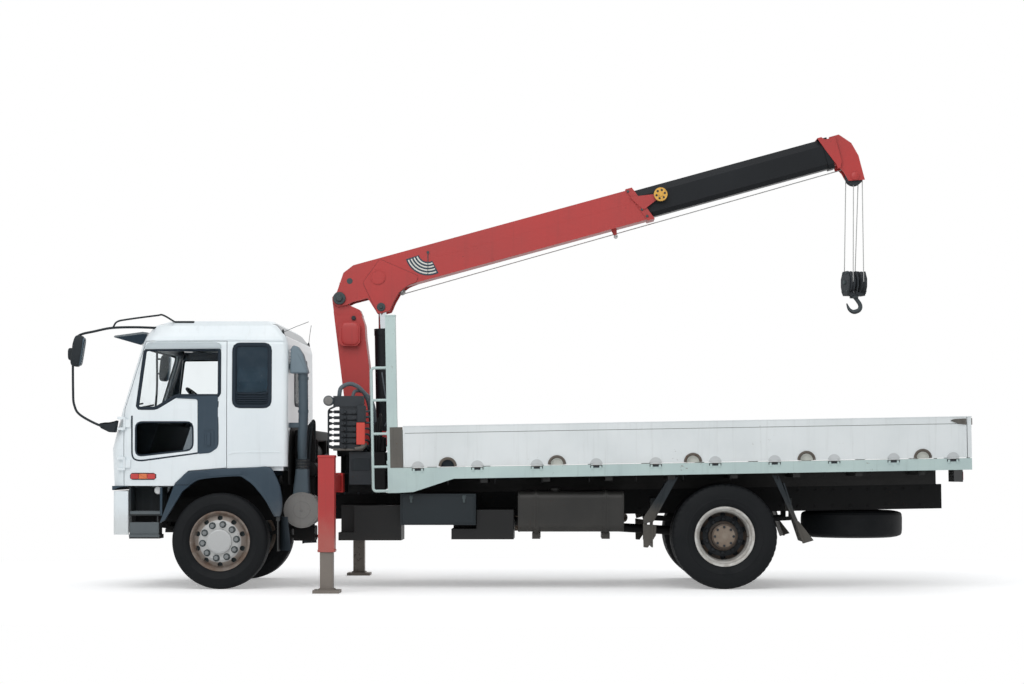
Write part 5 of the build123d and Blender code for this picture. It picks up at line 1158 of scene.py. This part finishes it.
# rope falls: each from the turned block up to its own place on the head sheaves
headX, headZ, blockZ, blockTurn = 6454.6, 4242.2, 3138.0, radians(16.4)
turnCos, turnSin = cos(blockTurn), sin(blockTurn)
fallTops = {(-1, -1): -80.3, (-1, 1): 50.0, (1, -1): -10.0, (1, 1): 80.3}
fallLook = {"along": 60, "across": 112.4, "topY": 38, "radius": 5.2}
falls = []
for y in (-1, 1):
    for fore in (-1, 1):
        along, across = y * fallLook["along"], fore * fallLook["across"]
        foot = (headX + along * turnCos + across * turnSin, along * turnSin - across * turnCos, blockZ + 4)
        top = (headX + fallTops[fore, y], -fore * fallLook["topY"], headZ - 6)
        falls.append(rope(foot, top, fallLook["radius"], 80.0, 8.0))
fallPiece = addPiece("hoist_rope_falls", falls, wireRope, "falls", 38, ("hoist_falls",))
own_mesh(fallPiece)

# head sleeve: slanted cheek plates that pass outside the middle section's collar
sleeveLook = {"outline": [(5228, 293), (5274, 292), (5302, 263), (5411, 261), (5412, -1), (5380, -65), (5351, -64),
                          (5349, -20), (5280, 151)],
              "bridge": [(5229, 291.5), (5275, 291.5), (5275, 297), (5229, 297)], "inner": 113.5, "thick": 7,
              "pin": [(0, 92), (44, 92), (44, 104), (36, 110), (0, 110)]}
inner = sleeveLook["inner"]
headPins = []
for side in (-1, 1):
    headPins += [turned(sleeveLook["pin"], side, (5509, 0, -185), 32),
                 plate(sleeveLook["outline"], side, inner, inner + sleeveLook["thick"], 1.5)]
headPins.append(slab(sleeveLook["bridge"], "y", -inner - 5, inner + 5, 1))
addPiece("head_pins", onBoom(headPins), cranePaint, "boom_head")
print("boom done")

# column: winch housings, hose lines and bolts
columnLook = {"dome": (1210, 186, 2594), "domeSize": (196, 44, 236), "boltAt": (1240, 112, 2763), "lineY": 127,
              "lines": (1340, 1364, 1388), "clamps": (1760, 2060), "axis": (1300, 0),
              "port": [(1560, -84, 1640), (1600, -100, 1760), (1560, -96, 2000), (1530, -90, 2200)]}
housings, bolts = [], []
for side in (-1, 1):
    x, y, z = columnLook["dome"]
    housings.append(pillow((x, side * y, z), columnLook["domeSize"], 0.55, 0.0))
    x, y, z = columnLook["boltAt"]
    bolts.append(boltsAt([(x, side * y, z)], "y", side, 44, 30))
addPiece("winch_housings", housings, cranePaint, "column")
bolts.append(boltsAt(laid(circle(*columnLook["axis"], 200, 16), "z", 1416.0), "z", 1, 30, 18))
addPiece("column_bolts", bolts, blockPaint, "column")
y = columnLook["lineY"]
lines = [hose([(x - 30, y, 1600), (x, y, 1760), (x, y, 2100), (x - 14, y, 2300), (x - 60, y * 0.96, 2440)], 9)
         for x in columnLook["lines"]]
lines += [slab(box2(1326, 1402, z, z + 24, 6), "y", 114, 140, 3) for z in columnLook["clamps"]]
addPiece("column_lines", lines, hosePaint, "column")
addPiece("lift_line", [hose(columnLook["port"], 8)], hosePaint, "lift_cylinder")

# control bank: stacked valves, pressure lines, lamp, blank plates
bankSizes = {"valves": 7, "first": 1420.0, "pitch": 58.0, "lampAt": (1074, 0, 1878), "foot": 1366,
             "bigKnob": [(0, 0), (17, 0), (17, -22), (11, -30), (0, -30)],
             "smallKnob": [(0, 0), (20, 0), (20, -14), (0, -16)],
             "ball": [(0, 1066), (14, 1068), (18, 1078), (14, 1092), (8, 1100), (0, 1100)],
             "collar": [(9, 1120), (16, 1121), (16, 1178), (9, 1180)],
             "mains": (([(1170, -900, 1926), (1190, -896, 2010), (1280, -880, 2050), (1380, -850, 2000),
                         (1452, -800, 1880), (1478, -760, 1650), (1480, -720, 1366)], 21),
                       ([(1300, -860, 1926), (1330, -840, 1980), (1420, -800, 1960), (1500, -760, 1840),
                         (1512, -730, 1600), (1494, -690, 1366)], 17)),
             "lamp": [(0, -1022), (30, -1020), (46, -1014), (52, -1004), (50, -960), (30, -932), (0, -926)],
             "lens": [(0, -1018), (44, -1016), (40, -1024), (20, -1028), (0, -1029)],
             "stub": [(1340, -1002, 1400), (1390, -1008, 1404), (1430, -1000, 1420), (1440, -960, 1440)]}
valves, linesOut, levers = [], [], []
low = bankSizes["foot"]
for i in range(bankSizes["valves"]):
    z = bankSizes["first"] + bankSizes["pitch"] * i
    valves += [slab(box2(1196, 1386, z - 24, z + 24, 8), "y", -1000, -846, 5),
               spun(bankSizes["bigKnob"], (1240, -1000, z), "y", 14),
               spun(bankSizes["smallKnob"], (1330, -1000, z), "y", 14)]
    levers += [spun(bankSizes["ball"], (0, -930, z), "x", 18), spun(bankSizes["collar"], (0, -930, z), "x", 14)]
    linesOut.append(hose([(1386, -880, z), (1440 + 6 * i, -868 + 8 * i, z + 8), (1468 + 5 * i, -810 + 10 * i, z - 30),
                          (1462 + 4 * i, -760 + 8 * i, (z + low) / 2), (1400 + 14 * i, -700, 1420),
                          (1300 + 26 * i, -660 - 30 * (i % 3), low)], 11))
linesOut += [hose(run, radius, 12) for run, radius in bankSizes["mains"]]
addPiece("bank_valves", valves, bankPaint)
addPiece("bank_levers", levers, blockPaint)
addPiece("bank_pressure_lines", linesOut, hosePaint)
x, _, z = bankSizes["lampAt"]
lamp = [spun(bankSizes["lamp"], bankSizes["lampAt"], "y", 32),
        tube([(x + 30, -970, z - 10), (x + 60, -970, z - 30), (x + 70, -960, 1840)], 9, 8)]
addPiece("work_lamp", lamp, snorkelFinish)
addPiece("work_lamp_lens", [spun(bankSizes["lens"], bankSizes["lampAt"], "y", 32)], cleanerFinish)
addPiece("bank_red_plate", [slab(box2(1352, 1438, 1440, 1660, 8), "y", -1012, -1002, 3)], plateRed)
oilTank = [slab(box2(1486, 1640, 992, 1366, 16), "y", -950, -640, 8),
           slab(box2(1500, 1626, 1366, 1520, 18), "y", -900, -660, 8)]
oilTank += [hose([(1490 + 26 * i, -930 + 14 * i, 1330), (1500 + 26 * i, -940, 1480 + 20 * i),
                  (1530 + 18 * i, -900, 1620 + 40 * i), (1540 + 12 * i, -780, 1560),
                  (1560 + 6 * i, -720, 1400)], 15, 10) for i in range(4)]
addPiece("bank_oil_tank", oilTank, framePaint)
addPiece("bank_cover", [slab(box2(1360, 1440, 1660, 1830, 8), "y", -1008, -900, 5)], blockPaint)
shelf = [slab(box2(1120, 1420, 1380, 1402, 6), "y", -1000, -840, 4),
         spun([(0, -1010), (26, -1010), (26, -960), (0, -960)], (1420, 0, 1424), "y", 20),
         hose(bankSizes["stub"], 20, 12)]
addPiece("bank_shelf", shelf, cornerSteel)
addPiece("bank_blank_plate", [slab(box2(1300, 1480, 1180, 1300, 8), "y", -966, -959, 1.5)], blackPlastic)
print("column and bank done")

# outriggers and base
legSizes = {"x": 1130, "y": 1650, "half": 84, "caps": ((1306, 1332, 6), (396, 424, 5)),
            "fitting": [(0, 1330), (22, 1330), (22, 1340), (14, 1344), (0, 1344)],
            "baseBolts": (1080, 1180, 1320, 1460)}
x, half = legSizes["x"], legSizes["half"]
for side, tag, short in sides:
    y = side * legSizes["y"]
    caps = [slab(box2(x - half, x + half, y - half, y + half, 14), "z", *limits) for limits in legSizes["caps"]]
    addPiece("leg_caps_" + tag, caps, legPaint, "outrigger_" + short)
    addPiece("leg_fittings_" + tag, [spun(legSizes["fitting"], (x, y, 0), "z", 20)], blockPaint, "outrigger_" + short)
baseBolts = [boltsAt(laid(circle(*columnLook["axis"], 226, 18, 0.1), "z", 1341.0), "z", -1, 26, 16)]
baseBolts += [boltsAt([(x, side * 432, 948) for x in legSizes["baseBolts"]], "y", side, 26, 14) for side in (-1, 1)]
addPiece("base_bolts", baseBolts, blockPaint)

# open forged hook: a circle carried along the bend, thick at the bottom and fine at the tip, under a nut; block bolts
hookSizes = {"bend": [(6452, 0, 3040), (6447, 0, 3006), (6487, 0, 2959), (6520, 0, 2903), (6508, 0, 2856),
                      (6452, 0, 2836), (6406, 0, 2862), (6378, 0, 2924)],
             "thick": ((0.0, 17), (0.35, 22), (0.68, 24), (0.9, 15), (1.0, 6)), "nut": (46, 2978, 3001), "boltY": 103,
             "bolts": ((-60, -90), (60, -90), (-44, 98), (44, 98))}
bend = smoothPath(hookSizes["bend"])
thick = np.interp(np.linspace(0, 1, len(bend)), *np.array(hookSizes["thick"]).T)
nutR, low, high = hookSizes["nut"]
nut = spun([(0, low), (nutR - 4, low), (nutR, low + 4), (nutR, high), (0, high)], (headX, 0, 0), "z", 32)
addPiece("hook_forged", [tube(bend, thick, 16), nut], forgedSteel, "hook_body", 38, ("hook",))


def onBlock(shape):
    # a shape drawn about the block's middle, turned with the block about the upright axis
    (a, b, up), polygons = shape[0].T, shape[1]
    return np.stack([headX + a * turnSin + b * turnCos, -a * turnCos + b * turnSin, blockZ + up], -1), polygons


out = hookSizes["boltY"]
blockBolts = [boltsAt([(0, side * out, 0)], "y", side, 40, 18) for side in (-1, 1)]
blockBolts += [boltsAt([(a, side * out, b) for a, b in hookSizes["bolts"]], "y", side, 20, 10) for side in (-1, 1)]
addPiece("block_bolts", [onBlock(bolt) for bolt in blockBolts], pinSteel, "block")
print("outriggers and hook done")

# rear mudguard lips: flat strips along the guards' outer edges
lipLook = {"shapes": ([(4472, 1118), (4556, 1118), (4316, 680), (4219, 651), (4207, 704)],
                      [(4207, 651), (4340, 632), (4335, 536), (4255, 416), (4212, 420)],
                      [(5489, 1137), (5554, 1132), (5746, 680), (5715, 661)],
                      [(5715, 668), (5753, 680), (5902, 488), (5794, 456)]), "y": (1085, 1110)}
lips = [plate(rounded(shape, 6), side, *lipLook["y"], 2) for side in (-1, 1) for shape in lipLook["shapes"]]
addPiece("rear_guard_lips", lips, blackPlastic)

# load bed: rope rings, hinge sleeves, latches, boards and hooks, drawn along the bed from its corner
bedLook = {"face": 1170, "rings": (595, 1677, 3023, 4147, 5298), "ringR": 77.0, "ringThick": 14, "pocketR": 74,
           "hinges": 300.0 + 588.5 * np.arange(10), "hooks": np.arange(595, 5700, 466.0),
           "edges": ((156, 5738, 405, 415, 3), (158, 176, 12, 410, 4), (5718, 5736, 12, 410, 4)),
           "latch": [(5576, 372), (5610, 388), (5732, 392), (5734, 330), (5660, 340)],
           "hook": ((-20, -112), (-20, -150), (-6, -168), (8, -160), (8, -140)), "tailHinges": (-930, -310, 310, 930)}


def onBed(shapes):
    # shapes drawn along the bed, put where the bed is
    return [turnedBy(shape, bedCorner) for shape in shapes]


arc = np.linspace(0, pi, 19)
face, ringR, pocketR = bedLook["face"], bedLook["ringR"], bedLook["pocketR"]
for side, tag, short in sides:
    body = "gate_" + short
    hoops = [tube(laid(np.stack([s + ringR * np.cos(arc), 9 + ringR * np.sin(arc)], -1), "y", side * face + side * 2.0),
                  bedLook["ringThick"], 10) for s in bedLook["rings"]]
    addPiece("gate_rope_rings_" + tag, onBed(hoops), ringSteel, body)
    pockets = [np.stack([s + pocketR * np.cos(arc), 8 + pocketR * np.sin(arc)], -1) for s in bedLook["rings"]]
    pockets = onBed([plate(np.concatenate([pocket, [(s - pocketR, 4), (s + pocketR, 4)]]), side, face - 44, face - 34)
                     for s, pocket in zip(bedLook["rings"], pockets)])
    addPiece("gate_ring_pocket_" + tag, pockets[:1], flapRubber, body)
    addPiece("gate_ring_backs_" + tag, pockets[1:], plateWhite, body)
    edges = [plate(box2(*limits), side, face - back, face + out, bevel) for limits, (back, out, bevel) in zip(
        bedLook["edges"], ((42, 3, 2), (41, 2.5, 1.5), (41, 2.5, 1.5)))]
    addPiece("gate_seam_" + tag, onBed([plate(box2(158, 5736, 339, 345), side, face - 7, face - 1)]), hingeSteel, body)
    addPiece("gate_edges_" + tag, onBed(edges), gatePaint, body)
    latch = [plate(rounded(bedLook["latch"], 8), side, face, face + 12, 3),
             turned([(0, face), (12, face), (12, face + 18), (0, face + 18)], side, (5700, 0, 374), 16)]
    addPiece("gate_latch_" + tag, onBed(latch), cornerSteel, body)
    sleeves = [tube([(s + end, side * (face + 10), 0) for end in (-53, 53)], 10, 12) for s in bedLook["hinges"]]
    # a bar under each hinge sleeve, darkened as a painted shadow beneath the hinge pads
    bars = [plate(box2(s - 60, s + 60, -30, -6, 3), side, face - 2, face + 6, 1.5) for s in bedLook["hinges"]]
    addPiece("hinge_sleeves_" + tag, onBed(sleeves), platePaint)
    addPiece("hinge_shadow_bars_" + tag, onBed(bars), blockPaint)
    hooks = [hose([(s, side * (face + out), up) for out, up in bedLook["hook"]], 6) for s in bedLook["hooks"]]
    addPiece("rail_rope_hooks_" + tag, onBed(hooks), framePaint)
    corner = [plate(box2(28, 153, 2, 404, 4), side, face - 2, face + 4, 1.5),
              plate(box2(84, 92, 4, 402), side, face, face + 6)]
    addPiece("headboard_corner_" + tag, onBed(corner), cornerSteel)
for y in bedLook["tailHinges"]:
    sleeve = tube([(5794, y + end, 0) for end in (-53, 53)], 10, 12)
    addPiece("tail_hinge_" + str(y + 1000), onBed([sleeve]), hingeSteel)
tailEdges = [slab(box2(-1172, 1172, 404, 415, 3), "x", 5742, 5787, 2)]
tailEdges += [slab(box2(-1168, 1168, h, h + 6), "x", 5782, 5786) for h in (128, 240)]
addPiece("tailgate_edges", onBed(tailEdges), gatePaint, "gate_t")
tailFit = [slab(box2(y - 16, y + 16, 330, 396, 6), "x", 5784, 5800, 3) for y in (-1120, 1120)]
addPiece("tailgate_latches", onBed(tailFit), rustySteel, "gate_t")
ribs = [slab(box2(-1160, 1160, h, h + 34, 4), "x", -10, 2, 2) for h in (40, 180, 330)]
ribs += [slab([(101, 0), (40, 0), (40, -3), (101, -3)], "y", -1168, -1092, 0.5),
         slab(box2(-4, 105, 1505, 1517, 4), "y", -1174, -1086, 2)]
addPiece("headboard_ribs", onBed(ribs), railPaint)
bezelBox, lensBox = (-236, -117, 14, 5686, 5696, 3), (-220, -132, 10, 5690, 5702, 4)
tailLook = {"tail_bezels": (blackPlastic, 850, 1152, bezelBox), "tail_red": (redLens, 1052, 1140, lensBox),
            "tail_amber": (amberLens, 960, 1044, lensBox), "tail_white": (whiteLens, 872, 952, lensBox)}
for name, (finish, near, far, limits) in tailLook.items():
    lamps = [slab(box2(*sorted((side * near, side * far)), *limits[:3]), "x", *limits[3:]) for side in (-1, 1)]
    addPiece(name, onBed(lamps), finish)
addPiece("rear_plate", onBed([slab(box2(-165, 165, -100, -16, 8), "x", 5783, 5788, 1)]), plateWhite)
print("load bed done")

# chassis fittings: tank bands and cap, toolbox latches, frame bolts
tankSizes = {"strap": (-1083, -592, 553, 985, 78), "straps": (3145, 3840), "end": (-1077.5, -597.5, 570, 974.5, 70),
             "ends": (2976, 4009), "cap": [(0, 965), (52, 965), (56, 985), (54, 1004), (40, 1010), (0, 1010)]}
tankFit = [slab(box2(*tankSizes["strap"]), "x", x - 8, x + 8, 2) for x in tankSizes["straps"]]
tankFit += [slab(box2(*tankSizes["end"]), "x", x - 9, x + 9, 4) for x in tankSizes["ends"]]
tankFit.append(spun(tankSizes["cap"], (3330, -860, 0), "z", 32))
addPiece("tank_fittings", tankFit, tankFinish)
toolboxLook = {"lid": (1812, 2530, 656, 934, 12), "face": 1080, "latches": (1905, 2430)}
lidEdge, face = finer(box2(*toolboxLook["lid"]), 40), toolboxLook["face"]
latches, seams = [], []
for side in (-1, 1):
    seams.append(band(laid(lidEdge, "y", side * face), (0, side, 0), 5, 4))
    for x in toolboxLook["latches"]:
        latches += [plate(box2(x - 12, x + 12, 862, 930, 5), side, face, face + 16, 4),
                    plate(box2(x - 18, x + 18, 896, 936, 6), side, face, face + 7, 2)]
addPiece("toolbox_lids", seams, boxPaint)
addPiece("toolbox_latches", latches, pinSteel)
frameX = np.arange(1500, 7200, 180.0)
frameZ = 915 + frameX * 0.017455
frameBolts = [boltsAt(laid(np.stack([frameX, frameZ - drop], -1), "y", side * 430.0), "y", side, 22, 10)
              for side in (-1, 1) for drop in (45, 205)]
addPiece("frame_bolts", frameBolts, framePaint)
clipLook = {"axles": ((0, 449, 56), (5020, 603, 92)), "y": (340, 446)}
clips = []
for axle, z, reach in clipLook["axles"]:
    for side in (-1, 1):
        y0, y1 = [side * y for y in clipLook["y"]]
        bend = ((y0, z - 130), (y0, z + 84), ((y0 + y1) / 2, z + 112), (y1, z + 84), (y1, z - 130))
        clips += [tube(smoothPath([(axle + dx, y, h) for y, h in bend], 5), 10, 8) for dx in (-reach, reach)]
addPiece("axle_clips", clips, framePaint)
print("chassis fittings done")

# floor, light and camera
stageLook = {"floor": (250, 250, 250), "speck": (246, 246, 246), "reach": 60.0, "sky": 0.5,
             "skyColour": (0.96, 0.98, 1.0, 1), "glow": 0.3, "fadeFrom": 2.8, "fadeTo": 6.0, "across": 0.45,
             "lampSize": 16.0, "aim": (0, 0, 1.5), "key": ((-4, -12.5, 13.5), 1550.0), "fill": ((6, 12, 14), 800.0),
             "eye": (0.390, -22.12, 1.247), "lens": 74.43, "shift": (-0.0469, 0.1191)}
black, white = (0, 0, 0, 1), (1, 1, 1, 1)
stage = bpy.context.scene


def floorFinish():
    # pale floor that keeps the shadow near the truck and turns plain white farther off, as the camera sees it
    f = Finish("studio_floor")
    x, y = f.axis("X") * stageLook["across"], f.axis("Y")
    away = f.ease((x * x + y * y) ** 0.5, stageLook["fadeFrom"], stageLook["fadeTo"])
    seen = f.seen()
    colour = f.mix(f.noise(0.6, 3.0) * 0.2, tint(*stageLook["floor"]), tint(*stageLook["speck"]))
    f.set(Base_Color=colour, Roughness=0.9)
    f.set(Emission_Color=f.mix(seen, black, white), Emission_Strength=stageLook["glow"])
    plain = f.node("ShaderNodeEmission", {}, {"Color": white, "Strength": 1.0})
    f.show(away * seen, Link(f, f.shader.outputs[0]), plain, "Material Output")
    return f.material


reach = stageLook["reach"]
floorMesh = bpy.data.meshes.new("floor")
corners = box2(-reach, reach, -reach, reach)
floorMesh.from_pydata(laid(corners, "z", 0.0).tolist(), [], [[0, 1, 2, 3]])
floorPiece = bpy.data.objects.new("floor", floorMesh)
stage.collection.objects.link(floorPiece)
floorMesh.materials.append(floorFinish())

# the world lights the truck softly and shows plain white to the camera
stage.world = bpy.data.worlds.new("studio")
stage.world.use_nodes = True
sky = Nodes(stage.world.node_tree)
soft = sky.tree.nodes["Background"]
sky.feed(soft.inputs["Color"], stageLook["skyColour"])
sky.feed(soft.inputs["Strength"], stageLook["sky"])
plain = sky.node("ShaderNodeBackground", {}, {"Color": white, "Strength": 1.0})
sky.show(sky.seen(), Link(sky, soft.outputs[0]), plain, "World Output")


def softLamp(name):
    # a large square lamp, turned so that it looks at the aim
    place, power = stageLook[name]
    lamp = bpy.data.lights.new(name, "AREA")
    lamp.energy = power
    lamp.size = stageLook["lampSize"]
    piece = bpy.data.objects.new(name, lamp)
    piece.location = place
    d = np.array(stageLook["aim"], float) - np.array(place, float)
    piece.rotation_euler = (np.arctan2(np.hypot(d[0], d[1]), -d[2]), 0, np.arctan2(d[1], d[0]) - pi / 2)
    stage.collection.objects.link(piece)


softLamp("key")
softLamp("fill")

eye = bpy.data.cameras.new("photo_view")
eye.lens = stageLook["lens"]
eye.sensor_width = 36
eye.shift_x, eye.shift_y = stageLook["shift"]
eyePiece = bpy.data.objects.new("photo_view", eye)
eyePiece.location = stageLook["eye"]
eyePiece.rotation_euler = (radians(90), 0, 0)
stage.collection.objects.link(eyePiece)
stage.camera = eyePiece
stage.view_settings.view_transform = "Standard"
print("stage done")
